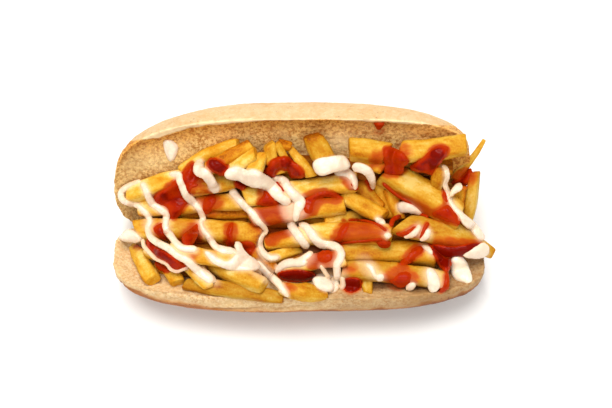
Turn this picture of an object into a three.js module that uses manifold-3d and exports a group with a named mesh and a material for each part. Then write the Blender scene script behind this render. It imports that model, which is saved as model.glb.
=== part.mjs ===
// A fries sandwich: a long soft roll split along one side and opened like a V,
// heaped with thick fries, mayonnaise and ketchup.
// Millimetres, +Z up, long side along X, the open side of the V to the front (-Y).
import * as THREE from 'three';
import { mergeVertices } from 'three/addons/utils/BufferGeometryUtils.js';
import Module from 'manifold-3d';

const wasm = await Module();
wasm.setup();
const { Manifold, Mesh } = wasm;

// ---------------------------------------------------------------- named sizes
const HINGE_Z = 14;            // height of the line where the two halves join
const BASE_Z = 1.0;            // the flat that the roll's weight presses into its underside
const GAP = 0.32;              // clear space between touching pieces
const TURNS = 56;              // steps around each half
const FACE_RINGS = [0.3, 0.6, 0.82, 0.94];
const DOME_RINGS = [0.985, 0.93, 0.83, 0.68, 0.48, 0.26];

// Each half is a pillow cut flat: outline |c|^(2/p) by |s|^(2/p), a dome on the
// crust side and a shallow dish on the crumb side.  opening = angle of its cut
// face above the ground, reach = how far its middle lies from the hinge.
const UPPER = {
  opening: 59.3, back: +1, middleX: -2.5, left: 85.9, right: 82.1,
  reach: 27.5, halfWidth: 38.2, topLeft: 2.9, lowLeft: 2.9, topRight: 4.2, lowRight: 3.4,
  taperLeft: 0.043, taperRight: -0.040, thick: 27.0, swell: 0.27, domePower: 2.6, dish: 3.0,
};
const LOWER = {
  opening: 27.6, back: -1, middleX: 0, left: 89.5, right: 88.1,
  reach: 19.0, halfWidth: 28.8, topLeft: 3.1, lowLeft: 3.4, topRight: 3.0, lowRight: 3.7,
  taperLeft: 0.015, taperRight: -0.015, thick: 18.6, swell: 0, domePower: 3.0, dish: 2.0,
};

// ---------------------------------------------------------------- the roll
const rad = (deg) => deg * Math.PI / 180;
const spow = (v, p) => Math.sign(v) * Math.abs(v) ** p;

function halfPoint(h, rho, turn, depth) {
  const c = Math.cos(turn), s = Math.sin(turn);
  const left = c < 0;
  const p = left ? (s > 0 ? h.topLeft : h.lowLeft) : (s > 0 ? h.topRight : h.lowRight);
  const es = spow(s, 2 / p);
  const x = h.middleX + (left ? h.left : h.right) * rho * spow(c, 2 / p)
    * (1 - (left ? h.taperLeft : h.taperRight) * es * rho);
  const t = h.reach + h.halfWidth * rho * es;
  const a = rad(h.opening);
  depth *= 1 + h.swell * ((1 - Math.min(1, ((x - h.middleX) / h.left) ** 2)) ** 2.5 - 0.15);   // fullest in the middle
  return [x,
    h.back * (t * Math.cos(a) + depth * Math.sin(a)),
    HINGE_Z + t * Math.sin(a) - depth * Math.cos(a)];
}

function halfRoll(h0, grow = 0) {
  const h = { ...h0, left: h0.left + grow, right: h0.right + grow, halfWidth: h0.halfWidth + grow };
  const verts = [], tris = [];
  const ring = (rho, depth) => {
    const start = verts.length / 3;
    for (let i = 0; i < TURNS; i++) verts.push(...halfPoint(h, rho, 2 * Math.PI * (i + 0.5) / TURNS, depth));
    return start;
  };
  const faceDepth = (rho) => h.dish * (1 - rho ** 6) - grow;
  const domeDepth = (rho) => -grow + (h.thick + 2 * grow) * (1 - rho ** h.domePower) ** (1 / h.domePower);
  const rings = [...FACE_RINGS.map((r) => ring(r, faceDepth(r))), ring(1, -grow),
    ...DOME_RINGS.map((r) => ring(r, domeDepth(r)))];
  verts.push(...halfPoint(h, 0, 0, faceDepth(0)), ...halfPoint(h, 0, 0, domeDepth(0)));
  const faceMid = verts.length / 3 - 2, domeMid = verts.length / 3 - 1;
  const flip = h.back > 0;
  const tri = (a, b, c) => (flip ? tris.push(a, c, b) : tris.push(a, b, c));
  for (let i = 0; i < TURNS; i++) {
    const j = (i + 1) % TURNS;
    tri(faceMid, rings[0] + j, rings[0] + i);
    for (let k = 0; k + 1 < rings.length; k++) {
      tri(rings[k] + i, rings[k] + j, rings[k + 1] + j);
      tri(rings[k] + i, rings[k + 1] + j, rings[k + 1] + i);
    }
    const last = rings[rings.length - 1];
    tri(last + i, last + j, domeMid);
  }
  let solid = new Manifold(new Mesh({
    numProp: 3, vertProperties: new Float32Array(verts), triVerts: new Uint32Array(tris),
  }));
  if (solid.volume() < 0) throw new Error('a half of the roll is inside out');
  return solid;
}

// The uncut crust that still joins the halves runs along under the fold.
const SPINE = { radius: 14, halfLength: 80, power: 3, below: 7, steps: 28, sides: 32 };

function spine() {
  const profile = [];
  for (let i = 0; i <= SPINE.steps; i++) {
    const x = -Math.cos(Math.PI * i / SPINE.steps);
    profile.push([SPINE.radius * Math.max(0, 1 - Math.abs(x) ** SPINE.power) ** (1 / SPINE.power), x * SPINE.halfLength]);
  }
  const far = 60, u = rad(UPPER.opening), l = rad(LOWER.opening);
  const opening = Manifold.extrude([[0, 0], [far * Math.cos(u), far * Math.sin(u)], [-far * Math.cos(l), far * Math.sin(l)]], 4 * SPINE.halfLength)
    .translate([0, 0, -2 * SPINE.halfLength]).rotate([90, 0, 90]).translate([0, 0, -SPINE.below]);
  return Manifold.revolve(profile, SPINE.sides).rotate([0, 90, 0]).subtract(opening).translate([0, 0, HINGE_Z]);
}

const roll = halfRoll(UPPER).add(halfRoll(LOWER)).add(spine()).trimByPlane([0, 0, 1], BASE_Z);
const rollCutter = halfRoll(UPPER, GAP).add(halfRoll(LOWER, GAP));

// ---------------------------------------------------------------- the fries
// The bed under the top fries: a mound in the fold of the roll, with rows of
// half-sunk fries over it.
const BED = { height: 27, rise: 0.32, droop: 9, halfLength: 78 };
const ROWS = [[-25, -70], [-19, -70], [-13, -70], [-7, -70], [-1, -70], [5, -70], [11, -70], [17, -66], [22, -46]];  // y, left end
const ROW_END = 72;
const SINK = 2.4;              // how far a resting fry nests between those below it
const MAX_SLOPE = 0.5;

// The top fries, lowest first: what it is, middle x and y, direction in degrees,
// length in plan and thickness.  Heights are worked out: each fry comes to rest
// on what lies below it.  Rows that end in two more numbers give the heights of
// their two ends instead: those that lean on the upper crumb, prop on one
// another at a slope, or hang out over the right end.
const TOP_FRIES = [
  ['rim_front', -31.2, -38.3, -10, 47.4, 7.2],
  ['l_end', -75.1, -21.2, -63, 25.4, 6.8],
  ['l_stub', -61.4, -26.0, -61, 17.2, 6.4],
  ['l_point', -48.9, -28.0, -56, 21.6, 7.7],
  ['mid_rim', 2.1, -38.6, -2, 21.9, 7.7],
  ['stub_r', 31.5, -33.9, -85, 8.8, 6.4],
  ['r_out', 80.3, 5.9, -102, 22.5, 5.6, 46.5, 32],
  ['r_in', 75.5, 5.7, -101, 10.5, 5.6, 44, 39],
  ['brown_a', 39.6, 7.4, -74, 19.1, 6.8, 42.0, 34.0],
  ['brown_b', 44.2, 4.4, -68, 15.0, 6.0, 42.5, 35.0],
  ['brown_c', 32.9, 7.0, -50, 18.4, 7.6, 38.0, 38.0],
  ['back_l1', -42.6, 22.4, 18, 28.3, 6.4],
  ['back_l2', -33.2, 19.5, 25, 23.9, 6.4, 55.8, 61.7],
  ['back_l3', -27.5, 16.8, 29, 16.1, 6.6, 55.4, 61.5],
  ['back_s', -7.3, 25.4, -7, 6.1, 4.2, 60.1, 58.1],
  ['back_up', 9.5, 21.6, -56, 13.1, 10.6, 66.7, 55.0],
  ['back_m2', -12.2, 21.6, -66, 13.7, 5.5],
  ['back_m1', -19.6, 16.5, -111, 10.5, 7.8, 60.8, 57.9],
  ['back_n1', -13.8, 21.5, -79, 7.3, 6.4, 61.7, 55.8],
  ['back_n2', -8.6, 22.0, -54, 7.0, 4.6, 62.4, 55.1],
  ['back_m3', 0.5, 18.3, -50, 15.9, 4.9, 58.5, 52.2],
  ['back_r1', 31.9, 21.6, -6, 18.3, 9.8, 61.3, 60.7],
  ['back_r2', 62.2, 23.1, 4, 31.1, 9.4, 59.5, 63.6],
  ['out_tip', 79.7, 22.7, 45, 18.6, 5.4, 40.5, 55.5],
  ['small_m', 33.7, 16.5, -14, 11.6, 5.6, 56.9, 56.0],
  ['und_a', -0.6, -2.1, 1, 35.3, 5.1],
  ['und_b', 20.9, -2.6, 19, 20.3, 6.0],
  ['und_c', -17.6, -21.1, -42, 16.8, 5.5],
  ['und_d', -7.6, -18.3, 21, 16.2, 4.7],
  ['und_e', -61.8, -21.3, -24, 22.6, 6.8],
  ['und_f', -34.7, 1.7, -2, 21.5, 5.1],
  ['row5', -29.4, -30.6, -31, 28.7, 8.8],
  ['row4', -45.0, -23.7, -8, 31.5, 7.2],
  ['row3', -48.5, -8.2, -4, 60.8, 9.8],
  ['row2', -52.1, 4.9, 1, 50.1, 7.7, 30.0, 39.0],
  ['row1', -66.4, 12.7, 10, 32.8, 8.3, 36.0, 44.5],
  ['cap_m', -41.4, 11.8, 6, 23.4, 8.2, 43.0, 45.5],
  ['diag_y', 29.7, 1.4, -32, 23.0, 7.4, 40.0, 43.5],
  ['front_4', 44.8, -30.6, -6, 50.5, 8.1],
  ['mid_k', -1.5, -0.0, 6, 45.6, 9.2, 36.8, 42.0],
  ['mid_up', 0.2, 8.9, 7, 53.8, 8.4, 42.5, 47.0],
  ['front_3', 41.0, -18.7, -2, 46.0, 10.4],
  ['front_pt', 5.1, -25.7, 8, 32.2, 7.2],
  ['front_2', 12.8, -13.0, -0, 59.9, 8.8, 30.2, 42.0],
  ['fork', 64.3, 9.8, -112, 10.2, 6.4, 58.0, 46.0],
  ['diag_big', 57.6, 5.1, -31, 41.0, 11.6, 48.0, 43.0],
  ['big_r', 69.6, -13.0, -13, 47.2, 10.8, 41.5, 33.5],
];

let seed = 20817;
const random = () => {
  seed = (seed + 0x6D2B79F5) | 0;
  let t = Math.imul(seed ^ (seed >>> 15), 1 | seed);
  t = (t + Math.imul(t ^ (t >>> 7), 61 | t)) ^ t;
  return ((t ^ (t >>> 14)) >>> 0) / 4294967296;
};
const between = (a, b) => a + (b - a) * random();

const bedTop = (x, y) => BED.height + BED.rise * y - BED.droop * Math.abs(x / BED.halfLength) ** 4;
const crumbTop = (x, y) => {
  const h = y > 0 ? UPPER : LOWER;
  const reach = (h.reach + h.halfWidth) * Math.cos(rad(h.opening));
  if (Math.abs(x) > 87 || Math.abs(y) > reach + 3) return -Infinity;
  const t = Math.min(Math.abs(y), reach) / Math.cos(rad(h.opening));
  const rho = Math.min(1, Math.hypot(Math.abs(x - h.middleX) / h.right, Math.abs(t - h.reach) / h.halfWidth));
  return HINGE_Z + t * Math.sin(rad(h.opening)) - h.dish * (1 - rho ** 6) / Math.cos(rad(h.opening));
};
const groundAt = (x, y) => Math.max(crumbTop(x, y), Math.abs(x) < BED.halfLength - 1 ? bedTop(x, y) : -Infinity);

const laid = [];               // { a, b, w } with a and b the ends of the middle line
function topAt(x, y) {
  let top = groundAt(x, y);
  for (const f of laid) {
    const dx = f.b.x - f.a.x, dy = f.b.y - f.a.y, l2 = dx * dx + dy * dy;
    const s = ((x - f.a.x) * dx + (y - f.a.y) * dy) / l2;
    const margin = 0.5 / Math.sqrt(l2);
    if (s < -margin || s > 1 + margin) continue;
    const off = Math.abs((x - f.a.x) * dy - (y - f.a.y) * dx) / Math.sqrt(l2);
    if (off > f.w / 2) continue;
    top = Math.max(top, f.a.z + (f.b.z - f.a.z) * s + f.w / 2 * (1 - 0.25 * (2 * off / f.w) ** 4));
  }
  return top;
}

function restHeights(x, y, angle, length, w) {
  const ux = Math.cos(angle), uy = Math.sin(angle), n = Math.max(8, Math.round(length / 1.5));
  const at = [];
  for (let i = 0; i <= n; i++) {
    const s = -0.5 + i / n;
    let need = -Infinity;
    for (const o of [-0.6, -0.3, 0, 0.3, 0.6]) {
      const px = x + ux * s * length - uy * o * w / 2, py = y + uy * s * length + ux * o * w / 2;
      need = Math.max(need, topAt(px, py) + w / 2 * (1 - 0.35 * o * o));
    }
    if (need > -Infinity) at.push([s, need - SINK]);
  }
  let best = [-Infinity, 0];
  for (const p of at) for (const q of at) {
    if (p[0] > 0 || q[0] < 0 || q[0] - p[0] < 1e-6) continue;
    const slope = (q[1] - p[1]) / (q[0] - p[0]), mid = p[1] - slope * p[0];
    if (mid > best[0]) best = [mid, slope];
  }
  const slope = Math.max(-MAX_SLOPE * length, Math.min(MAX_SLOPE * length, best[1]));
  return [best[0] - slope / 2, best[0] + slope / 2];
}

function lay(x, y, degrees, length, w, heights) {
  const angle = rad(degrees);
  const [za, zb] = heights ?? restHeights(x, y, angle, length, w);
  const ux = Math.cos(angle) * length / 2, uy = Math.sin(angle) * length / 2;
  return { a: new THREE.Vector3(x - ux, y - uy, za), b: new THREE.Vector3(x + ux, y + uy, zb), w };
}

const bedFries = [];
for (const [rowY, left] of ROWS) {
  for (let x = left + between(0, 12); x < 62;) {
    const length = Math.min(between(34, 56), ROW_END - x), w = between(7.3, 9.0);
    if (length < 20) break;
    const y = rowY + between(-1.5, 1.5), degrees = between(-11, 11);
    const f = lay(x + length / 2, y, degrees, length, w, [0, 0]);
    for (const end of [f.a, f.b]) end.z = groundAt(end.x, end.y) + between(-0.8, 0.8);
    bedFries.push(f);
    x += length * 0.9;
  }
}
laid.push(...bedFries);
for (const [, x, y, degrees, length, w, za, zb] of TOP_FRIES) {
  laid.push(lay(x, y, degrees, length, w, za === undefined ? undefined : [za, zb]));
}

function fry({ a, b, w }) {
  const h = w / 2, c = 0.22 * w;
  const section = [[h - c, -h], [h, -h + c], [h, h - c], [h - c, h], [-h + c, h], [-h, h - c], [-h, -h + c], [-h + c, -h]];
  const along = b.clone().sub(a), length = along.length();
  along.normalize();
  const side = new THREE.Vector3(0, 0, 1).cross(along).normalize(), up = along.clone().cross(side);
  return Manifold.extrude(section, length)
    .transform(new THREE.Matrix4().makeBasis(side, up, along).setPosition(a).toArray());
}

// The mound: sections across the fold, its underside just inside the crumb.
function bed() {
  const sections = 15, steps = 6, verts = [], tris = [];
  const frontTan = Math.tan(rad(LOWER.opening)), backTan = Math.tan(rad(UPPER.opening));
  const count = steps + 2;
  for (let i = 0; i < sections; i++) {
    const x = (BED.halfLength - 2) * Math.sin((i / (sections - 1) - 0.5) * Math.PI);
    const rise = bedTop(x, 0) - HINGE_Z;
    const front = -rise / (frontTan + BED.rise) - 2, back = rise / (backTan - BED.rise) + 1;
    for (let k = 0; k <= steps; k++) {
      const y = front + (back - front) * k / steps;
      verts.push(x, y, bedTop(x, y));
    }
    verts.push(x, 0, HINGE_Z - 3);
  }
  const at = (i, k) => i * count + k % count;
  for (let i = 0; i + 1 < sections; i++) {
    for (let k = 0; k < count; k++) {
      tris.push(at(i, k), at(i + 1, k), at(i + 1, k + 1), at(i, k), at(i + 1, k + 1), at(i, k + 1));
    }
  }
  for (let k = 1; k + 1 < count; k++) {
    tris.push(at(0, 0), at(0, k), at(0, k + 1));
    tris.push(at(sections - 1, 0), at(sections - 1, k + 1), at(sections - 1, k));
  }
  const solid = new Manifold(new Mesh({
    numProp: 3, vertProperties: new Float32Array(verts), triVerts: new Uint32Array(tris),
  }));
  if (solid.volume() < 0) throw new Error('the bed is inside out');
  return solid;
}

const biggest = (solid) => solid.decompose().reduce((m, s) => (s.volume() > m.volume() ? s : m));
const clearOf = (solid, other) => {
  for (const [x, y, z] of [[1, 0, 0], [-1, 0, 0], [0, 1, 0], [0, -1, 0], [0, 0, 1], [0, 0, -1]]) {
    solid = solid.subtract(other.translate([x * GAP, y * GAP, z * GAP]));
  }
  return biggest(solid.subtract(other));
};
const heap = biggest(biggest(Manifold.union([bed(), ...laid.map(fry)]).subtract(rollCutter)).simplify(0.1));

// ---------------------------------------------------------------- thick sauce
// Spoonfuls that stand up from the heap: middle x and y, width, depth, height,
// the turn of the long side in degrees and the height of its middle.
const DOLLOPS = {
  mayonnaise_dollop_back: [14.5, 16.5, 17, 9, 9, 12, 52],
  mayonnaise_dollop_right: [75.5, -25.5, 9, 13, 8, -15, 30],
  ketchup_dollop_back_left: [-7.1, 17.0, 20, 13, 8, 5, 49],
  ketchup_dollop_back_right: [61.5, 17.5, 17, 13, 9, 30, 46],
};
const dollops = Object.entries(DOLLOPS).map(([name, [x, y, width, depth, height, turn, z]]) => {
  const blob = Manifold.sphere(0.5, 20).scale([width, depth, height]).rotate([0, 0, turn])
    .translate([x, y, z]);
  return [name, biggest(clearOf(blob.subtract(rollCutter), heap).simplify(0.05))];
});

// ---------------------------------------------------------------- the model
const all = [['bun', roll], ['fries_heap', heap], ...dollops];
const span = new THREE.Box3();
for (const [, solid] of all) {
  const { min, max } = solid.boundingBox();
  span.expandByPoint(new THREE.Vector3(...min)).expandByPoint(new THREE.Vector3(...max));
}
const origin = new THREE.Vector3((span.min.x + span.max.x) / 2, (span.min.y + span.max.y) / 2, span.min.z);

function toMesh(name, solid, colour, roughness) {
  const m = solid.translate([-origin.x, -origin.y, -origin.z]).getMesh();
  const points = new Float32Array(m.vertProperties.length / m.numProp * 3);
  for (let i = 0; i * 3 < points.length; i++) {
    for (let k = 0; k < 3; k++) points[3 * i + k] = m.vertProperties[m.numProp * i + k];
  }
  let geometry = new THREE.BufferGeometry();
  geometry.setAttribute('position', new THREE.BufferAttribute(points, 3));
  geometry.setIndex(new THREE.BufferAttribute(new Uint32Array(m.triVerts), 1));
  geometry = mergeVertices(geometry, 1e-4);
  geometry.computeVertexNormals();
  const mesh = new THREE.Mesh(geometry, new THREE.MeshStandardMaterial({ color: colour, roughness, metalness: 0 }));
  mesh.name = name;
  return mesh;
}

const COLOURS = { bun: [0xe2b987, 0.85], fries_heap: [0xe0a53c, 0.55], mayonnaise: [0xfbf1df, 0.35], ketchup: [0xa82408, 0.25] };
const sandwich = new THREE.Group();
for (const [name, solid] of all) {
  const [colour, roughness] = COLOURS[name] ?? COLOURS[name.split('_')[0]];
  sandwich.add(toMesh(name, solid, colour, roughness));
}

export default sandwich;
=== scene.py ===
"""A fries sandwich: the looks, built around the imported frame.

Shapes are worked out in millimetres in the fold's own axes (hinge line at y=0)
and moved into the row frame, in metres, when each mesh is made.
"""
import math

import bpy
import numpy as np
from mathutils import Matrix, Vector
from mathutils.bvhtree import BVHTree
from mathutils.kdtree import KDTree


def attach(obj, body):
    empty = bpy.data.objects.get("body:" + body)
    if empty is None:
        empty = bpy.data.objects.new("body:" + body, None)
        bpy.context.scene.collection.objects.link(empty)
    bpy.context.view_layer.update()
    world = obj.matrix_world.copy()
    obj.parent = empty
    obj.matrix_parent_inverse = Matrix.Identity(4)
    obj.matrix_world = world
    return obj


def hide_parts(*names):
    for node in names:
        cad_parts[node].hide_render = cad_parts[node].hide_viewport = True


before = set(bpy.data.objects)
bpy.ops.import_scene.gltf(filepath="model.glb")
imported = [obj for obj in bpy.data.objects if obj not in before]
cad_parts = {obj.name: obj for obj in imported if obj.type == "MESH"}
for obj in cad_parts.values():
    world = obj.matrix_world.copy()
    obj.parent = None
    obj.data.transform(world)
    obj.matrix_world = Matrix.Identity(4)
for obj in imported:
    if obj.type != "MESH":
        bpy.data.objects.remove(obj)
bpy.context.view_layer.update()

ORIGIN = np.array([2.3194, 2.5639, 1.0000])     # of the row frame, in the fold's millimetres
rng = np.random.default_rng(4)


def metres(p):
    return (np.asarray(p, float) - ORIGIN) * 0.001


# ------------------------------------------------------------------ camera
ELEVATION = math.radians(70.0)
DISTANCE = 900.0                              # mm
FOCAL_PX = 1890.0                             # in a frame 612 wide
AXIS_POINT = np.array([2.8, 5.0, 35.0])
WIDE, HIGH = 612, 408
FWD = np.array([0, math.cos(ELEVATION), -math.sin(ELEVATION)])
UPV = np.array([0, math.sin(ELEVATION), math.cos(ELEVATION)])
RIGHT = np.array([1.0, 0, 0])
EYE = AXIS_POINT - FWD * DISTANCE

cam_data = bpy.data.cameras.new("camera")
cam_data.sensor_width = 36.0
cam_data.lens = 36.0 * FOCAL_PX / WIDE
cam_data.clip_start, cam_data.clip_end = 0.01, 20
camera = bpy.data.objects.new("camera", cam_data)
bpy.context.scene.collection.objects.link(camera)
camera.location = metres(EYE)
camera.rotation_mode = "QUATERNION"
camera.rotation_quaternion = Vector(FWD).to_track_quat("-Z", "Y")
bpy.context.scene.camera = camera


def rays(px):
    """Unit directions from the eye through points of the 612 by 408 frame."""
    px = np.asarray(px, float)
    d = FWD + RIGHT * ((px[..., :1] - WIDE / 2) / FOCAL_PX) - UPV * ((px[..., 1:2] - HIGH / 2) / FOCAL_PX)
    return d / np.linalg.norm(d, axis=-1, keepdims=True)


# ------------------------------------------------------------------ noise
_lattice = np.random.default_rng(11).random((32, 32, 32)) * 2 - 1


def noise(p, size, shift=0.0):
    """Smooth value noise, -1 to 1, with features about size apart."""
    q = np.asarray(p, float) / size + shift * 7.31
    i = np.floor(q).astype(int)
    f = q - i
    f = f * f * (3 - 2 * f)
    out = 0
    for dx in (0, 1):
        for dy in (0, 1):
            for dz in (0, 1):
                w = ((f[:, 0] if dx else 1 - f[:, 0]) * (f[:, 1] if dy else 1 - f[:, 1])
                     * (f[:, 2] if dz else 1 - f[:, 2]))
                out = out + w * _lattice[(i[:, 0] + dx) % 32, (i[:, 1] + dy) % 32, (i[:, 2] + dz) % 32]
    return out


def smoothstep(a, b, v):
    t = np.clip((v - a) / (b - a), 0, 1)
    return t * t * (3 - 2 * t)


# ------------------------------------------------------------------ meshes
def new_mesh(name, verts, faces, attrs=None, smooth=True):
    me = bpy.data.meshes.new(name)
    verts = metres(verts)
    faces = np.asarray(faces, np.int32) if not isinstance(faces, list) else faces
    if isinstance(faces, list):
        me.from_pydata([tuple(v) for v in verts], [], faces)
    else:
        n, k = faces.shape
        me.vertices.add(len(verts))
        me.vertices.foreach_set("co", verts.astype(np.float32).ravel())
        me.loops.add(n * k)
        me.loops.foreach_set("vertex_index", faces.ravel())
        me.polygons.add(n)
        me.polygons.foreach_set("loop_start", np.arange(0, n * k, k, dtype=np.int32))
        me.update(calc_edges=True)
    if smooth:
        me.polygons.foreach_set("use_smooth", np.ones(len(me.polygons), bool))
    for key, val in (attrs or {}).items():
        add_attr(me, key, val)
    me.validate()
    me.update()
    ob = bpy.data.objects.new(name, me)
    bpy.context.scene.collection.objects.link(ob)
    return ob


def add_attr(me, key, val):
    val = np.asarray(val, np.float32)
    if val.ndim == 2:
        a = me.attributes.new(key, "FLOAT_VECTOR", "POINT")
        a.data.foreach_set("vector", val.ravel())
    else:
        a = me.attributes.new(key, "FLOAT", "POINT")
        a.data.foreach_set("value", val)


def read_mesh(me):
    """Vertices in the fold's millimetres, normals, and faces as rows of 4 or 3."""
    v = np.zeros(len(me.vertices) * 3, np.float32)
    me.vertices.foreach_get("co", v)
    return v.reshape(-1, 3) * 1000.0 + ORIGIN


def read_normals(me):
    n = np.zeros(len(me.vertices) * 3, np.float32)
    me.vertices.foreach_get("normal", n)
    return n.reshape(-1, 3).astype(float)


def write_verts(me, p):
    me.vertices.foreach_set("co", metres(p).astype(np.float32).ravel())
    me.update()


def edges_of(me):
    e = np.zeros(len(me.edges) * 2, np.int32)
    me.edges.foreach_get("vertices", e)
    return e.reshape(-1, 2)


def relax(p, e, rounds, step=0.5, back=-0.52):
    """Taubin smoothing: takes out the steps of a remesh and keeps the volume."""
    deg = np.bincount(e.ravel(), minlength=len(p)).astype(float)[:, None]
    deg[deg == 0] = 1
    for i in range(rounds):
        for k in (step, back) if back else (step,):
            s = np.zeros_like(p)
            for c in range(3):
                s[:, c] = (np.bincount(e[:, 0], weights=p[e[:, 1], c], minlength=len(p))
                           + np.bincount(e[:, 1], weights=p[e[:, 0], c], minlength=len(p)))
            p = p + k * (s / deg - p)
    return p


def applied(ob):
    """The object with its modifiers made real."""
    dg = bpy.context.evaluated_depsgraph_get()
    dg.update()
    me = bpy.data.meshes.new_from_object(ob.evaluated_get(dg), depsgraph=dg)
    old = ob.data
    ob.modifiers.clear()
    ob.data = me
    bpy.data.meshes.remove(old)
    return ob


def join_arrays(parts):
    """[(verts, faces, {attr: values})] to one of each."""
    vs, fs, at, n = [], [], {}, 0
    for v, f, a in parts:
        vs.append(v)
        fs.append(np.asarray(f) + n)
        for k, x in a.items():
            at.setdefault(k, []).append(np.asarray(x, float))
        n += len(v)
    return np.vstack(vs), np.vstack(fs), {k: np.concatenate(x) for k, x in at.items()}


# ------------------------------------------------------------------ the roll
HINGE = 14.0
HALVES = {
    "upper": dict(angle=math.radians(59.3), side=1, mid=-2.5, left=85.9, right=82.1, reach=27.5, half=38.2,
                  tl=2.9, ll=2.9, tr=4.2, lr=3.4, taper_l=0.043, taper_r=-0.040, thick=27.0, swell=0.27, power=2.6, dish=3.2),
    "lower": dict(angle=math.radians(27.6), side=-1, mid=0.0, left=89.5, right=88.1, reach=19.0, half=28.8,
                  tl=3.1, ll=3.4, tr=3.0, lr=3.7, taper_l=0.015, taper_r=-0.015, thick=18.6, swell=0.0, power=3.0, dish=2.2),
}


def spow(v, p):
    return np.sign(v) * np.abs(v) ** p


def half_point(h, rho, turn, depth):
    c, s = np.cos(turn), np.sin(turn)
    left = c < 0
    p = np.where(left, np.where(s > 0, h["tl"], h["ll"]), np.where(s > 0, h["tr"], h["lr"]))
    es = spow(s, 2 / p)
    x = h["mid"] + np.where(left, h["left"], h["right"]) * rho * spow(c, 2 / p) * (
        1 - np.where(left, h["taper_l"], h["taper_r"]) * es * rho)
    t = h["reach"] + h["half"] * rho * es
    depth = depth * (1 + h["swell"] * ((1 - np.clip((x - h["mid"]) / h["left"], -1, 1) ** 2) ** 2.5 - 0.15))
    a = h["angle"]
    return np.stack(np.broadcast_arrays(x, h["side"] * (t * math.cos(a) + depth * math.sin(a)),
                                        HINGE + t * math.sin(a) - depth * math.cos(a)), -1)


def half_frame(h, p):
    """x, reach from the hinge line, depth towards the crust, and how far out to the rim (1) of fold points."""
    a = h["angle"]
    y, z = p[:, 1] * h["side"], p[:, 2] - HINGE
    t = y * math.cos(a) + z * math.sin(a)
    n = y * math.sin(a) - z * math.cos(a)
    left = p[:, 0] < h["mid"]
    v = (t - h["reach"]) / h["half"]
    u = (p[:, 0] - h["mid"]) / np.where(left, h["left"], h["right"]) / (1 - np.where(left, h["taper_l"], h["taper_r"]) * v)
    k = np.where(left, np.where(v > 0, h["tl"], h["ll"]), np.where(v > 0, h["tr"], h["lr"]))
    rho = (np.abs(u) ** k + np.abs(v) ** k) ** (1 / k)
    return p[:, 0], t, n, rho


def dish_depth(h, rho):
    return h["dish"] * (1 - rho ** 16) * (0.72 + 0.28 * (1 - rho ** 2))


def pillow(h, around=220):
    turn = (np.arange(around) + 0.5) / around * 2 * np.pi
    rings = []
    for r in np.concatenate([np.linspace(0.04, 0.9, 24), [0.93, 0.955, 0.975, 0.99]]):
        rings.append(half_point(h, r, turn, dish_depth(h, r)))
    rings.append(half_point(h, 1.0, turn, 0.0))
    for r in np.concatenate([[0.998, 0.992, 0.98, 0.96, 0.93, 0.9], np.linspace(0.87, 0.03, 26)]):
        rings.append(half_point(h, r, turn, h["thick"] * (1 - r ** h["power"]) ** (1 / h["power"])))
    v = np.vstack(rings)
    n = len(rings)
    face_mid = half_point(h, 0.0, np.array([0.0]), dish_depth(h, 0.0))
    dome_mid = half_point(h, 0.0, np.array([0.0]), h["thick"])
    v = np.vstack([v, face_mid, dome_mid])
    f = []
    i = np.arange(around)
    j = (i + 1) % around
    for k in range(n - 1):
        a, b, c, d = k * around + i, k * around + j, (k + 1) * around + j, (k + 1) * around + i
        f += [np.stack([a, b, c], 1), np.stack([a, c, d], 1)]
    f.append(np.stack([np.full(around, n * around), j, i], 1))
    f.append(np.stack([(n - 1) * around + i, (n - 1) * around + j, np.full(around, n * around + 1)], 1))
    f = np.vstack(f)
    return v, (f[:, ::-1] if h["side"] > 0 else f)


def spine():
    steps, sides = 60, 64
    xs = -np.cos(np.pi * np.arange(1, steps) / steps)
    r = 14.0 * np.clip(1 - np.abs(xs) ** 3, 0, 1) ** (1 / 3)
    a = np.arange(sides) / sides * 2 * np.pi
    rings = []
    for x, rr in zip(xs, r):
        y, z = rr * np.cos(a), rr * np.sin(a)
        # stays under both crumb faces, as the frame's own solid does
        for h in HALVES.values():
            yy = y * h["side"]
            top = yy * math.tan(h["angle"]) - 7.0
            z = np.where((yy > 0) & (z > top), np.maximum(top, -rr), z)
        rings.append(np.stack([np.full(sides, x * 80.0), y, z + HINGE], 1))
    v = np.vstack(rings + [np.array([[-80.0, 0, HINGE - 3]]), np.array([[80.0, 0, HINGE - 3]])])
    n = len(rings)
    i = np.arange(sides)
    j = (i + 1) % sides
    f = []
    for k in range(n - 1):
        p, q, s, t = k * sides + i, k * sides + j, (k + 1) * sides + j, (k + 1) * sides + i
        f += [np.stack([p, s, q], 1), np.stack([p, t, s], 1)]
    f.append(np.stack([np.full(sides, n * sides), i, j], 1))
    f.append(np.stack([np.full(sides, n * sides + 1), (n - 1) * sides + j, (n - 1) * sides + i], 1))
    return v, np.vstack(f)


def remeshed(name, parts, voxel):
    v, f, _ = join_arrays([(a, b, {}) for a, b in parts])
    ob = new_mesh(name, v, f)
    m = ob.modifiers.new("remesh", "REMESH")
    m.mode = "VOXEL"
    m.voxel_size = voxel * 0.001
    m.use_smooth_shade = True
    return applied(ob)


VOXEL = 0.83
roll = remeshed("roll", [pillow(HALVES["upper"]), pillow(HALVES["lower"]), spine()], VOXEL)


# where the crust of the upper half ends and its crumb begins, in the 612 by 408 frame
LIP = np.array([(100, 165), (118, 151), (125, 144), (131, 140), (145, 138.5), (158, 137), (172, 132.5), (180, 130), (190, 127.5),
                (205, 124.2), (217, 123.2), (238, 121.6), (265, 120.2), (305, 119), (322, 118.3), (353, 120.3), (373, 121.2),
                (391, 122.3), (413, 122.8), (430, 123.4), (440, 123.8), (450, 124.2), (460, 125.5), (475, 132), (490, 150)], float)


def seen_at(p):
    v = p - EYE
    far = v @ FWD
    return WIDE / 2 + FOCAL_PX * v[:, 0] / far, HIGH / 2 - FOCAL_PX * (v @ UPV) / far


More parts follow.
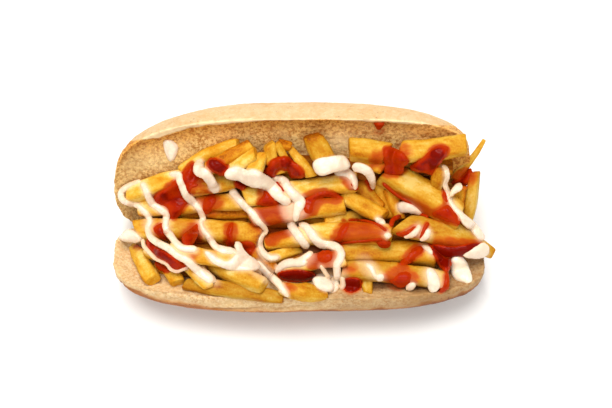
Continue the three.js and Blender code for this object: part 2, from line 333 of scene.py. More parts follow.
def shape_roll(ob):
    me = ob.data
    e = edges_of(me)
    p = relax(read_mesh(me).astype(float), e, 3)
    write_verts(me, p)
    n = read_normals(me)
    crumb, rim, lip_shade, brown, lip_light = (np.zeros(len(p)) for _ in range(5))
    ledge = np.zeros(len(p))
    for key, h in HALVES.items():
        x, t, d, rho = half_frame(h, p)
        a = h["angle"]
        out = np.array([0, -h["side"] * math.sin(a), math.cos(a)])      # out of the crumb face
        facing = n @ out
        dd = dish_depth(h, np.minimum(rho, 1))
        near = smoothstep(-2.0, -0.6, d) * (1 - smoothstep(dd + 0.8, dd + 2.2, d))
        torn = 0.42 * noise(p, 9, 21) + 0.40 * noise(p, 3.5, 22)        # the cut edge isn't a clean line
        upper = key == "upper"
        inset = (1 - rho) / np.maximum(rho, 0.05) * np.hypot(x - h["mid"], t - h["reach"]) - torn       # mm in from the rim
        if upper:
            px, py = seen_at(p)
            below = (py - np.interp(px, LIP[:, 0], LIP[:, 1])) / 1.63 - 0.6 * torn                       # mm under the lip
            ends = np.maximum(smoothstep(-68, -76, x), smoothstep(56, 66, x))
            m = smoothstep(-2.0, -0.6, d) * (1 - smoothstep(7.5, 10, d)) * smoothstep(0.0, 0.8, below) * (t > -8)
            m = m * np.maximum(smoothstep(0.30, 0.70, facing), ends)
            inset = np.minimum(inset, below)
            # painted light: the crust just above the cut edge is made lighter where it turns from the lamp
            lip_light = near * smoothstep(0.10, 0.45, facing) * (1 - smoothstep(0.0, 0.8, below)) * smoothstep(8, 16, t)
        else:
            # browner and nearer to the cut at both ends than in the middle
            d = d + (3.6 * smoothstep(-34, -58, x) + 3.0 * smoothstep(-62, -82, x) + 3.4 * smoothstep(40, 66, x)
                     + 2.6 * smoothstep(62, 80, x)) * smoothstep(1.5, 4.5, d)
            m = smoothstep(-2.0, -0.6, d) * (1 - smoothstep(6.5, 9.0, d + 1.2 * torn)) * (t > -8)
        crumb = np.maximum(crumb, m)
        rim = np.maximum(rim, near * smoothstep(0.90, 0.97, rho) * (1 - smoothstep(1.0, 1.05, rho)))
        # under the lip of the upper half the crumb lies deeper, and its colour is darkened there: painted shade
        if upper:
            high = smoothstep(0.15, 0.55, (t - h["reach"]) / h["half"])
            ledge += near * smoothstep(0.35, 0.7, facing) * smoothstep(0.8, 2.2, inset) * (1 - smoothstep(40, 62, x)) * (
                0.5 + 1.5 * high * (1 - 0.6 * smoothstep(5, 16, inset)))
            # at the right end the crumb beneath the last fries is painted darker too: painted shade
            side_end = smoothstep(50, 60, x) * (1 - smoothstep(44, 52, t))
            lip_shade = np.maximum(lip_shade, m * np.maximum((1 - smoothstep(2.0, 15.5, below)) * (1 - 0.32 * smoothstep(5, 45, x)), side_end))
        deep = (15.0, 29.0) if upper else (6.6, 12.8)
        brown = np.maximum(brown, smoothstep(*deep, d + 2.0 * noise(p, 13, 23) + 0.9 * noise(p, 5, 24)))
    # soft unevenness of the whole roll, kept off the flat it stands on
    standing = smoothstep(1.2, 4.0, p[:, 2])
    push = (0.50 * noise(p, 34, 1) + 0.34 * noise(p, 15, 2)) * standing
    # crumb: open pores and a coarse torn relief
    pore = np.clip(noise(p, 2.3, 3) + 0.6 * noise(p, 1.2, 4) - 0.30, 0, 1)
    lump = 0.25 * noise(p, 4.4, 5) + 0.18 * noise(p, 1.9, 6)
    push += crumb * (lump - 0.60 * pore + 0.16 * noise(p, 1.1, 16)) - ledge
    # crust: fine leathery wrinkles that run along the roll, and a few folds by the front edge
    q = p * np.array([0.35, 1.0, 1.0])
    push += (1 - crumb) * standing * (0.11 * noise(q, 2.2, 7) + 0.09 * noise(p, 1.6, 8))
    x, t, d, rho = half_frame(HALVES["lower"], p)
    front = smoothstep(0.86, 0.97, rho) * smoothstep(10, 20, t) * (1 - smoothstep(9, 13, d)) * (p[:, 1] < 0)
    # one loose flap of crust runs down across the middle of it
    across = np.stack([p[:, 0], p[:, 0] * 0, p[:, 0] * 0], 1)
    line = d - 7.6 + 0.075 * (p[:, 0] + 22) - 1.1 * noise(across, 9, 9)
    fold = front * np.exp(-(line / 0.60) ** 2) * smoothstep(-46, -38, p[:, 0]) * (1 - smoothstep(2, 12, p[:, 0]))
    push -= 0.9 * fold
    push += 0.55 * front * smoothstep(0.2, 1.4, line) * (1 - smoothstep(1.4, 5, line)) * smoothstep(-46, -38, p[:, 0]) * (1 - smoothstep(2, 12, p[:, 0]))
    # the torn cream face of the front edge: rough, with small pits
    push += front * (0.30 * noise(p * np.array([0.6, 1, 1]), 3.4, 11) + 0.22 * noise(p, 1.7, 15)
                     - 0.55 * np.clip(noise(p, 1.9, 12) - 0.25, 0, 1))
    p2 = p + n * push[:, None]
    p2[:, 2] = np.maximum(p2[:, 2], 1.0)
    write_verts(me, p2)
    lower = (p[:, 1] < 0).astype(float)
    # the lower half is darker towards its right end
    end_darkening = lower * (0.66 * smoothstep(0, 24, p[:, 0]) + 0.34 * smoothstep(42, 58, p[:, 0]) - 0.20 * smoothstep(68, 80, p[:, 0]))
    x, t, d, rho = half_frame(HALVES["upper"], p)
    end_darkening = end_darkening + (1 - lower) * 0.10 * (1 - smoothstep(-54, -40, x)) * smoothstep(4, 12, t)
    end_darkening = end_darkening + (1 - lower) * 0.35 * np.exp(-((x + 79) / 5) ** 2 - ((t - 39) / 9) ** 2)
    # two lighter patches on the upper crumb: painted light
    light_patch = (1 - lower) * (0.85 * np.exp(-((x + 69) / 8) ** 2 - ((t - 37) / 5) ** 2) + np.exp(-((x - 20) / 8) ** 2 - ((t - 50) / 7) ** 2))
    # in the shade of the lowest row the crumb is painted dark: painted shadow
    px, py = seen_at(p)
    row_shadow = lower * smoothstep(360, 374, px) * (1 - smoothstep(426, 446, px)) * smoothstep(276, 281, py) * (1 - smoothstep(287, 292.5, py + 1.5 * noise(p, 4, 19)))
    for key, val in (("row_shadow", 0.75 * row_shadow), ("crumb", crumb), ("rim", rim), ("brown", brown), ("lip_shade", lip_shade), ("lip_light", lip_light), ("front", front), ("fold", fold),
                     ("lower", lower), ("end_darkening", end_darkening), ("light_patch", light_patch)):
        add_attr(me, key, val)
    return p2


roll_p = shape_roll(roll)


# ------------------------------------------------------------------ the fries
# Ends of each fry's middle line and its thickness, millimetres in the fold's axes.
UNDER = [
    (-69.1, -22.5, 24.9, -18, -28.5, 27.1, 8.5),
    (-23, -24.6, 23.9, 24.9, -26.9, 25.4, 9),
    (20.2, -26.5, 25.9, 61.8, -22.5, 24, 7.9),
    (-67.4, -22.3, 24.1, -13.2, -15.2, 22, 7.4),
    (-18.2, -22.8, 24.5, 35.6, -15.7, 21.9, 8.8),
    (30.5, -20.6, 22.9, 71.9, -16.3, 20.2, 7.6),
    (-65.8, -15.7, 20.5, -13.7, -9.1, 23.8, 8.6),
    (-18.5, -8.9, 24.6, 28.3, -16.4, 22.3, 7.8),
    (24.3, -18.6, 22.1, 71.6, -9.8, 17.8, 8.5),
    (-63.1, -10.1, 19.1, -18.6, -3.7, 25, 8.3),
    (-22.7, -4.8, 25.5, 22.6, -10.6, 23.5, 8.7),
    (18.6, -10.4, 23.3, 71.6, -1.3, 19.8, 8),
    (-58.7, -4.3, 22.2, -24.3, 1.1, 27.1, 8.5),
    (-27.6, -0.3, 26.1, 8.5, -1.1, 26.7, 7.7),
    (5, -2, 26.6, 43.1, 2.3, 26.4, 8),
    (39.7, 2.4, 27.1, 71.8, -3.1, 20.3, 8.5),
    (-64.6, 2.8, 23.7, -28.9, 8.6, 30.3, 8.9),
    (-32.1, 2.8, 28.3, 15.7, 8, 30.2, 7.8),
    (11.1, 2.1, 28, 56.1, 4.9, 25.7, 8.8),
    (51.6, 4.8, 27.6, 72, 5.4, 23, 7.6),
    (-61.1, 7.8, 25.6, -20.8, 12.8, 31.6, 8.8),
    (-24.6, 11.9, 30.2, 21.8, 10.8, 30.7, 7.9),
    (17.2, 11.3, 30.9, 65.3, 12.7, 30.7, 8.5),
    (-60, 16, 36, -5.9, 20.5, 42.5, 8),
    (-11.1, 19.2, 39.9, 30.7, 14.1, 31.5, 8.9),
    (26.9, 19.8, 41.6, 69.3, 13.4, 33.7, 9),
    (-39.8, 22.6, 47.3, 9.2, 21.4, 44, 8.7),
    (4.5, 18.5, 39.6, 49.5, 23.8, 49, 7.9),
    (45.2, 22.9, 47.9, 71.9, 19.5, 45, 8.6),
]
TOP = [
    ('rim_front', -54.5, -34.2, 33.5, -7.9, -42.4, 38.2, 7.2),
    ('l_end', -80.9, -9.9, 19.8, -69.3, -32.5, 32.1, 6.8),
    ('l_stub', -65.6, -18.5, 29.8, -57.2, -33.5, 31.9, 6.4),
    ('l_point', -54.9, -19.1, 30.8, -42.9, -37, 41.6, 7.7),
    ('mid_rim', -8.8, -38.2, 43.1, 13, -39, 36.2, 7.7),
    ('stub_r', 31.1, -29.5, 28.8, 31.9, -38.3, 33.2, 6.4),
    ('r_out', 82.6, 16.9, 46.5, 78, -5.1, 32, 5.6),
    ('r_in', 76.5, 10.8, 44, 74.5, 0.6, 39, 5.6),
    ('brown_a', 37, 16.6, 42, 42.2, -1.8, 34, 6.8),
    ('brown_b', 41.4, 11.3, 42.5, 47, -2.5, 35, 6),
    ('brown_c', 27, 14.1, 38, 38.8, -0.1, 38, 7.6),
    ('back_l1', -56.1, 18, 44, -29.1, 26.8, 58.1, 6.4),
    ('back_l2', -44, 14.4, 55.8, -22.4, 24.6, 61.7, 6.4),
    ('back_l3', -34.5, 12.9, 55.4, -20.5, 20.7, 61.5, 6.6),
    ('back_s', -10.3, 25.8, 60.1, -4.3, 25, 58.1, 4.2),
    ('back_up', 5.8, 27, 66.7, 13.2, 16.2, 55, 10.6),
    ('back_m2', -15, 27.9, 55.7, -9.4, 15.3, 48.8, 5.5),
    ('back_m1', -17.7, 21.4, 60.8, -21.5, 11.6, 57.9, 7.8),
    ('back_n1', -14.5, 25.1, 61.7, -13.1, 17.9, 55.8, 6.4),
    ('back_n2', -10.7, 24.8, 62.4, -6.5, 19.2, 55.1, 4.6),
    ('back_m3', -4.6, 24.4, 58.5, 5.6, 12.2, 52.2, 4.9),
    ('back_r1', 22.8, 22.6, 61.3, 41, 20.6, 60.7, 9.8),
    ('back_r2', 46.7, 22, 59.5, 77.7, 24.2, 63.6, 9.4),
    ('out_tip', 73.1, 16.1, 40.5, 86.3, 29.3, 55.5, 5.4),
    ('small_m', 28.1, 17.9, 56.9, 39.3, 15.1, 56, 5.6),
    ('und_a', -18.2, -2.4, 30.2, 17.1, -1.8, 32.6, 5.1),
    ('und_b', 11.3, -5.9, 37, 30.5, 0.7, 31.9, 6),
    ('und_c', -23.8, -15.5, 29, -11.4, -26.7, 29.3, 5.5),
    ('und_d', -15.2, -21.2, 31.8, -0, -15.4, 27.1, 4.7),
    ('und_e', -72.1, -16.7, 31.9, -51.5, -25.9, 39.6, 6.8),
    ('und_f', -45.4, 2.1, 32.2, -24, 1.3, 32.6, 5.1),
    ('row5', -41.7, -23.2, 32.2, -17.1, -38, 44.3, 8.8),
    ('row4', -60.6, -21.5, 44.7, -29.4, -25.9, 42.7, 7.2),
    ('row3', -78.8, -6.1, 27.3, -18.2, -10.3, 32, 9.8),
    ('row2', -77.2, 4.5, 30, -27.1, 5.3, 39, 7.7),
    ('row1', -82.5, 9.8, 36, -50.2, 15.6, 44.5, 8.3),
    ('cap_m', -53, 10.6, 43, -29.8, 13, 45.5, 8.2),
    ('diag_y', 19.9, 7.5, 40, 39.5, -4.7, 43.5, 7.4),
    ('front_4', 19.7, -28, 34.5, 69.9, -33.2, 33.8, 8.1),
    ('mid_k', -24.2, -2.4, 36.8, 21.2, 2.4, 42, 9.2),
    ('mid_up', -26.5, 5.6, 42.5, 26.9, 12.2, 47, 8.4),
    ('front_3', 18, -17.9, 31, 64, -19.5, 30.7, 10.4),
    ('front_pt', -10.8, -27.9, 33.1, 21, -23.5, 39.5, 7.2),
    ('front_2', -17.1, -13, 30.2, 42.8, -13, 42, 8.8),
    ('fork', 66.2, 14.5, 58, 62.4, 5.1, 46, 6.4),
    ('diag_big', 40, 15.7, 48, 75.2, -5.5, 43, 11.6),
    ('big_r', 46.6, -7.7, 41.5, 92.6, -18.3, 33.5, 10.8),
]
# bend: how far the middle bows to the front; cut_a, cut_b: 0 blunt to 1 pointed;
# shade: -1 dark brown to 1 pale; dim: 0 to 1, a dull olive tone over all of it; brown_a, brown_b: a scorched end
STYLE = {
    "rim_front": dict(bend=0.2, shade=-0.1, dim=0.62, cut_a=0.4, cut_b=0.5), "l_end": dict(cut_a=0.6, shade=0.25),
    "l_stub": dict(shade=0.1), "l_point": dict(cut_b=0.75, shade=0.3), "mid_rim": dict(bend=1.6, shade=0.0, dim=0.3, cut_a=0.6, cut_b=0.7),
    "stub_r": dict(shade=0.05, dim=0.45, cut_a=0.3, cut_b=0.6, slant_b=0.5), "r_out": dict(shade=0.05, dim=0.42, bend=-0.8, cut_a=0.3),
    # r_in and brown_a to brown_c stand deep in the heap: their dark shade values are partly their own tone, partly
    # painted shade
    "r_in": dict(shade=-0.7), "brown_a": dict(shade=-0.35), "brown_b": dict(shade=-0.5), "brown_c": dict(shade=-0.6),
    "back_l1": dict(bend=-1.6, shade=0.25, cut_b=0.2), "back_l2": dict(shade=-0.6), "back_l3": dict(shade=0.25),
    "back_s": dict(shade=-0.5), "back_n1": dict(shade=0.2, dim=0.2, cut_a=0.2), "back_n2": dict(shade=0.0, dim=0.2, cut_a=0.2), "back_up": dict(shade=-0.06, dim=0.35, brown_a=0.55, cut_a=0.35), "back_m2": dict(shade=0.1, cut_a=0.3),
    "back_m1": dict(shade=0.3, cut_a=0.6), "back_m3": dict(shade=0.2, dim=0.25, cut_a=0.5), "back_r1": dict(shade=-0.02, dim=0.25, slant_a=-0.2),
    "back_r2": dict(shade=0.25, dim=0.25, bend=0.9), "out_tip": dict(shade=0.5, dim=0.3, cut_b=0.8, bend=0.8, narrow=0.85, taper=3.0), "small_m": dict(shade=-0.5),
    "und_a": dict(shade=-0.5), "und_b": dict(shade=-0.1), "und_c": dict(shade=-0.8), "und_d": dict(shade=0.1),
    # und_f, under row2, is darkest as painted shade
    "und_e": dict(shade=-0.1), "und_f": dict(shade=-1.0), "row5": dict(bend=0.6, shade=0.15, dim=0.32, cut_b=0.35),
    "row4": dict(bend=0.9, shade=0.2), "row3": dict(bend=-1.6, shade=-0.1, dim=0.2, brown_b=0.9), "row2": dict(shade=0.05),
    "row1": dict(shade=0.4, cut_a=0.3), "cap_m": dict(shade=0.4, cut_b=0.2), "diag_y": dict(shade=0.12, dim=0.15, brown_b=0.3),
    "front_4": dict(bend=-1.4, shade=0.1, dim=0.5, cut_a=0.2), "mid_k": dict(shade=0.25, cut_b=0.1), "mid_up": dict(shade=0.42, bend=0.4),
    "front_3": dict(bend=-0.6, shade=0.0, dim=0.35), "front_pt": dict(bend=-0.9, shade=0.35, cut_a=0.85), "front_2": dict(bend=-2.6, shade=0.15, dim=0.15, cut_a=0.4),
    "fork": dict(shade=-0.1, dim=0.35, cut_a=0.15, cut_b=0.8), "diag_big": dict(bend=-1.0, shade=0.1, dim=0.3), "big_r": dict(bend=-1.6, shade=0.08, dim=0.45, cut_b=0.95, slant_a=0.75),
}


def fry(a, b, w, seed, bend=0.0, cut_a=0.0, cut_b=0.0, shade=0.0, brown_a=0.0, brown_b=0.0,
        slant_a=None, slant_b=None, narrow=0.55, taper=1.0, dim=0.10, around=24, along=30):
    r = np.random.default_rng(seed)
    a, b = np.array(a, float), np.array(b, float)
    length = np.linalg.norm(b - a)
    ax = (b - a) / length
    side = np.cross([0, 0, 1.0], ax)
    side /= np.linalg.norm(side)
    up = np.cross(ax, side)
    roll_by = math.radians(r.uniform(-14, 14))
    twist = math.radians(r.uniform(-16, 16))
    tall = r.uniform(0.86, 1.04)
    wide = r.uniform(0.95, 1.05)
    edge_mm = min(1.5, 0.20 * w)
    d = np.unique(np.concatenate([[0, 0.12, 0.4, 0.75, 1.1], np.linspace(1.8, length / 2, along // 2)]))
    dist = np.concatenate([d, (length - d[::-1])[1:]])
    ang = (np.arange(around) + 0.5) / around * 2 * np.pi
    k = r.uniform(3.2, 4.4)
    cu, sv = np.cos(ang), np.sin(ang)
    f = (np.abs(cu) ** k + np.abs(sv) ** k) ** (-1 / k)
    u0, v0 = cu * f, sv * f
    lo_, hi_ = np.minimum(np.abs(u0), np.abs(v0)), np.maximum(np.abs(u0), np.abs(v0))
    corner = smoothstep(0.62, 0.92, lo_ / hi_)
    slant_a = r.uniform(-0.45, 0.45) if slant_a is None else slant_a
    slant_b = r.uniform(-0.45, 0.45) if slant_b is None else slant_b
    verts, edge, tip, lc = [], [], [], []

    def ring(s, scale, sink=0.0, cap=False):
        da, db = s, length - s
        e = min(da, db)
        rounding = math.sqrt(max(0.0, 1 - (1 - min(e / edge_mm, 1)) ** 2))
        size = (1 - 0.22 * (1 - rounding)) * scale
        # pointed ends: one face runs down to the other
        pa = cut_a * max(0.0, 1 - da / (taper * (1.1 * w + 0.18 * length))) ** 1.15
        pb = cut_b * max(0.0, 1 - db / (taper * (1.1 * w + 0.18 * length))) ** 1.15
        thin = 1 - 0.88 * max(pa, pb)
        u = u0 * size * (1 - narrow * max(pa, pb))
        v = v0 * size * thin - (1 - thin) * 0.9
        g = roll_by + twist * (s / length - 0.5)
        uu = (u * math.cos(g) - v * math.sin(g)) * w / 2 * wide
        vv = (u * math.sin(g) + v * math.cos(g)) * w / 2 * tall
        puff = 1 + 0.05 * math.sin(s / length * math.pi) + 0.03 * math.sin(s * 0.45 + seed)
        uu, vv = uu * puff, vv * puff
        lean = (slant_a * math.exp(-da / (0.55 * w)) + slant_b * math.exp(-db / (0.55 * w))) * uu
        bow = bend * 4 * (s / length) * (1 - s / length)
        p = (a + ax * (s + 0.0))[None] + ax * (lean + sink)[:, None] + side * (uu - bow)[:, None] + up * vv[:, None]
        verts.append(p)
        edge.append(corner * scale)
        tip.append(np.full(around, max(math.exp(-da / 2.2) * (1 + 2.2 * brown_a), math.exp(-db / 2.2) * (1 + 2.2 * brown_b))
                           + brown_a * math.exp(-da / 6.5) + brown_b * math.exp(-db / 6.5)))
        lc.append(np.stack([np.full(around, s), uu, vv], 1))

    zero = np.zeros(around)
    for sc in (0.25, 0.6, 0.86):
        ring(0.0, sc, zero - 0.15 * (1 - sc))
    for s in dist:
        ring(s, 1.0, zero)
    for sc in (0.86, 0.6, 0.25):
        ring(length, sc, zero + 0.15 * (1 - sc))
    n = len(verts)
    v = np.vstack(verts + [verts[0].mean(0, keepdims=True), verts[-1].mean(0, keepdims=True)])
    lc = np.vstack(lc + [np.array([[0, 0, 0.0]]), np.array([[length, 0, 0.0]])])
    edge = np.concatenate(edge + [[0, 0]])
    tip = np.concatenate(tip + [tip[0][:1], tip[-1][:1]])
    i = np.arange(around)
    j = (i + 1) % around
    f = []
    for q in range(n - 1):
        p0, p1, p2, p3 = q * around + i, q * around + j, (q + 1) * around + j, (q + 1) * around + i
        f += [np.stack([p0, p2, p1], 1), np.stack([p0, p3, p2], 1)]
    f.append(np.stack([np.full(around, n * around), i, j], 1))
    f.append(np.stack([np.full(around, n * around + 1), (n - 1) * around + j, (n - 1) * around + i], 1))
    f = np.vstack(f)
    # uneven faces: push out from the middle line
    s = np.clip((v - a) @ ax, 0, length)
    mid = a + ax * s[:, None] - side * (bend * 4 * (s / length) * (1 - s / length))[:, None]
    out = v - mid
    far = np.linalg.norm(out, axis=1, keepdims=True)
    out = np.where(far > 1e-6, out / np.maximum(far, 1e-6), 0)
    q = lc + seed * 3.7
    ql = q * np.array([0.5, 1, 1])
    amount = 0.50 * noise(ql, 6.5, 1) + 0.26 * noise(ql, 2.8, 2) + 0.11 * noise(q, 1.2, 3)
    v = v + out * amount[:, None]
    m = len(v)
    return v, f, dict(edge=edge, tip=np.clip(tip, 0, 3), lc=lc, seed=np.full(m, r.random()), shade=np.full(m, shade),
                      dim=np.full(m, dim))


parts = []
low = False
# the lowest fries are given dark shades and a dull tone: painted shade deep in the heap
for k, row in enumerate(UNDER):
    parts.append(fry(row[:3], row[3:6], row[6], 500 + k, bend=rng.uniform(-1, 1), shade=rng.uniform(-1.1, -0.25), dim=0.2,
                     around=16, along=18))
for k, (name, *row) in enumerate(TOP):
    parts.append(fry(row[:3], row[3:6], row[6] * 1.03, 40 + k, around=16 if low else 30, along=18 if low else 44,
                     **STYLE.get(name, {})))
fries_v, fries_f, fries_at = join_arrays(parts)


def sunk(v, cell=1.0, reach=5):
    """How deep, in mm, each point lies in a gap: below what rises on both sides of it."""
    i = np.floor((v[:, :2] - v[:, :2].min(0)) / cell).astype(int) + reach
    top = np.full(tuple(i.max(0) + 1 + reach), 10.0)
    np.maximum.at(top, (i[:, 0], i[:, 1]), v[:, 2])
    deep = np.full(top.shape, -1e3)
    for ax in (0, 1):
        low, high = top.copy(), top.copy()
        for _ in range(reach):
            low, high = np.maximum(low, np.roll(low, 1, ax)), np.maximum(high, np.roll(high, -1, ax))
        deep = np.maximum(deep, np.minimum(low, high))
    for _ in range(3):
        for ax in (0, 1):
            deep = 0.5 * deep + 0.25 * (np.roll(deep, 1, ax) + np.roll(deep, -1, ax))
    return deep[i[:, 0], i[:, 1]] - v[:, 2]


# fries deep in a gap are coloured darker through this: painted shade between the fries
fries_at["sunk"] = smoothstep(5.5, 13.0, sunk(fries_v)) * (1 - 0.85 * smoothstep(44, 62, abs(fries_v[:, 0])))


# the smaller core: the mound in the fold that the lowest fries are sunk in
def core_mesh():
    na, nc = 70, 26
    vs = []
    for i in range(na):
        x = 75.0 * math.sin((i / (na - 1) - 0.5) * math.pi)
        top0 = 27 - 9 * abs(x / 78) ** 4 - 1.4
        rise = top0 - HINGE
        front, back = -rise / (math.tan(HALVES["lower"]["angle"]) + 0.32) - 1.5, rise / (math.tan(HALVES["upper"]["angle"]) - 0.32) + 0.6
        y = np.linspace(front, back, nc)
        z = top0 + 0.32 * y
        row = np.stack([np.full(nc, x), y, z], 1)
        row[1:-1, 2] += 0.9 * noise(row[1:-1], 4.0, 9) + 0.4 * noise(row[1:-1], 1.9, 10)
        vs.append(np.vstack([row, [[x, 0, HINGE - 2.5]]]))
    v = np.vstack(vs)
    c = nc + 1
    f = []
    for i in range(na - 1):
        for k in range(c):
            k2 = (k + 1) % c
            f += [[i * c + k, (i + 1) * c + k, (i + 1) * c + k2], [i * c + k, (i + 1) * c + k2, i * c + k2]]
    for k in range(1, c - 1):
        f += [[0, k, k + 1], [(na - 1) * c, (na - 1) * c + k + 1, (na - 1) * c + k]]
    return v, np.array(f)


core_v, core_f = core_mesh()
core = new_mesh("fries_core", core_v, core_f)


# ------------------------------------------------------------------ the sauces
# Outlines and paths are given in the 612 by 408 frame and laid on whatever they
# meet there, so each strand follows the fries and the crumb under it.
def tree_of(*meshes):
    vs, fs, n = [], [], 0
    for v, f in meshes:
        vs += v.tolist()
        fs += (np.asarray(f) + n).tolist()
        n += len(v)
    return BVHTree.FromPolygons(vs, fs)


def mesh_arrays(ob):
    me = ob.data
    me.calc_loop_triangles()
    t = np.zeros(len(me.loop_triangles) * 3, np.int32)
    me.loop_triangles.foreach_get("vertices", t)
    return read_mesh(me).astype(float), t.reshape(-1, 3)


def cast(tree, px):
    px = np.asarray(px, float)
    flat = px.reshape(-1, 2)
    d = rays(flat)
    out = np.full(len(flat), np.nan)
    eye = Vector(EYE)
    for i, v in enumerate(d):
        hit = tree.ray_cast(eye, Vector(v))
        if hit[3] is not None:
            out[i] = hit[3]
    return out.reshape(px.shape[:-1]), d.reshape(px.shape[:-1] + (3,))


def lowered(depth, step_a, step_b, slope, rounds=14):
    """Sauce bridges hollows: nowhere does it fall away faster than slope."""
    d = np.where(np.isnan(depth), 1e6, depth)
    for _ in range(rounds):
        d[1:] = np.minimum(d[1:], d[:-1] + slope * step_a)
        d[:-1] = np.minimum(d[:-1], d[1:] + slope * step_a)
        d[:, 1:] = np.minimum(d[:, 1:], d[:, :-1] + slope * step_b)
        d[:, :-1] = np.minimum(d[:, :-1], d[:, 1:] + slope * step_b)
    return d


def blurred(d, ok, rounds):
    """Averages over neighbours that are part of the sauce."""
    w = ok.astype(float)
    v = np.where(ok, d, 0)
    for _ in range(rounds):
        for ax in (0, 1):
            a = np.zeros_like(v)
            b = np.zeros_like(w)
            for sh, k in ((0, 2.0), (1, 1.0), (-1, 1.0)):
                sv, sw = np.roll(v * w, sh, ax), np.roll(w, sh, ax)
                if sh == 1:
                    (sv[:1] if ax == 0 else sv[:, :1])[...] = 0
                    (sw[:1] if ax == 0 else sw[:, :1])[...] = 0
                if sh == -1:
                    (sv[-1:] if ax == 0 else sv[:, -1:])[...] = 0
                    (sw[-1:] if ax == 0 else sw[:, -1:])[...] = 0
                a += k * sv
                b += k * sw
            v = np.where(ok, a / np.maximum(b, 1e-9), 0)
    return v


PX_MM = 1 / 2.1


def path_points(pts, step):
    """A smooth curve through the points, evenly stepped, with its run length."""
    p = np.asarray(pts, float)
    if len(p) == 2:
        p = np.vstack([p[0], (p[0] + p[1]) / 2, p[1]])
    q = np.vstack([2 * p[0] - p[1], p, 2 * p[-1] - p[-2]])
    out = []
    for i in range(1, len(q) - 2):
        t = np.linspace(0, 1, 14, endpoint=False)[:, None]
        a, b, c, d = q[i - 1], q[i], q[i + 1], q[i + 2]
        out.append(0.5 * (2 * b + (c - a) * t + (2 * a - 5 * b + 4 * c - d) * t ** 2 + (3 * b - a - 3 * c + d) * t ** 3))
    c = np.vstack(out + [p[-1:]])
    s = np.concatenate([[0], np.cumsum(np.linalg.norm(np.diff(c, axis=0), axis=1))])
    knots = [s[14 * k] for k in range(len(p) - 1)] + [s[-1]]
    u = np.arange(0, s[-1] + 1e-6, step)
    return np.stack([np.interp(u, s, c[:, 0]), np.interp(u, s, c[:, 1])], 1), u, np.array(knots)


def strand(tree, pts, width, thick=None, slope=0.75, seed=0, lift=0.0):
    """A ribbon of sauce: width in px, one number or one for each point."""
    c, u, knots = path_points(pts, 0.8)
    if len(c) < 3:
        return np.zeros((0, 3)), np.zeros(0), np.zeros(0)
    w = np.full(len(c), float(width)) if np.isscalar(width) else np.interp(u, knots, width)
    wob = noise(np.stack([u * PX_MM, u * 0 + seed, u * 0], 1), 3.1, 5)
    w = w * (1 + 0.13 * wob)
    end = np.minimum(u, u[-1] - u)
    w = w * np.sqrt(np.clip(1 - (1 - np.clip(end / np.maximum(w / 2, 0.5), 0, 1)) ** 2, 0.05, 1))
    tan = np.gradient(c, axis=0)
    tan /= np.maximum(np.linalg.norm(tan, axis=1, keepdims=True), 1e-9)
    nor = np.stack([-tan[:, 1], tan[:, 0]], 1)
    k = max(5, int(round(np.max(w) / 1.0)) | 1)
    o = np.linspace(-1, 1, k)
    inner = 1 - 0.9 / np.maximum(w, 1.8)                     # room for the outermost blobs
    px = c[:, None] + nor[:, None] * (o[None, :, None] * (w / 2 * inner)[:, None, None])
    depth, d = cast(tree, px)
    depth = lowered(depth, 0.8 * PX_MM, max(np.mean(w) / (k - 1), 0.3) * PX_MM, slope)
    ok = depth < 1e5
    depth = blurred(depth, ok, 5)
    lift = np.interp(u, knots, lift)[:, None] if np.ndim(lift) else lift
    wm = w * PX_MM
    t0 = np.clip(0.30 * wm, 0.45, 1.35) if thick is None else np.minimum(thick, 0.75 * wm + 0.3)
    t = t0[:, None] * np.sqrt(np.clip(1 - o[None] ** 2, 0.06, 1)) if np.ndim(t0) else t0 * np.sqrt(np.clip(1 - o[None] ** 2, 0.06, 1)) * np.ones((len(c), 1))
    return blobs(depth, d, t, ok, lift)


def blobs(depth, d, t, ok, lift=0.0):
    r = np.maximum(0.46, t / 2 + 0.22)
    centre = EYE + d * np.where(ok, depth - t - lift + r, 0.0)[..., None]
    cs, rs, ts = [centre[ok]], [r[ok]], [t[ok]]
    for ax in (0, 1):                       # where it runs down steeply the steps lie far apart
        both = [(b, np.swapaxes(b, 0, 1))[ax] for b in (centre, r, t, ok)]
        gap = np.where(both[3][1:] & both[3][:-1], np.linalg.norm(both[0][1:] - both[0][:-1], axis=-1), 0.0)
        n = np.ceil(gap / 0.50)
        for k in range(1, int(n.max(initial=0))):
            m = n > k
            f = k / n[m]
            for a, b in zip((cs, rs, ts), both):
                g = f[:, None] if b.ndim == 3 else f
                a.append(b[:-1][m] * (1 - g) + b[1:][m] * g)
    return np.vstack(cs), np.concatenate(rs), np.concatenate(ts)


def inside(poly, pts):
    x, y = pts[..., 0], pts[..., 1]
    res = np.zeros(x.shape, bool)
    near = np.full(x.shape, 1e9)
    n = len(poly)
    for i in range(n):
        (x0, y0), (x1, y1) = poly[i], poly[(i + 1) % n]
        c = ((y0 > y) != (y1 > y)) & (x < (x1 - x0) * (y - y0) / ((y1 - y0) or 1e-9) + x0)
        res ^= c
        dx, dy = x1 - x0, y1 - y0
        s = np.clip(((x - x0) * dx + (y - y0) * dy) / max(dx * dx + dy * dy, 1e-9), 0, 1)
        near = np.minimum(near, np.hypot(x - x0 - s * dx, y - y0 - s * dy))
    return res, near


def rounded(poly):
    """The outline with its corners cut twice, as sauce has none."""
    p = np.asarray(poly, float)
    for _ in range(2):
        q = np.roll(p, -1, 0)
        p = np.stack([0.75 * p + 0.25 * q, 0.25 * p + 0.75 * q], 1).reshape(-1, 2)
    return p


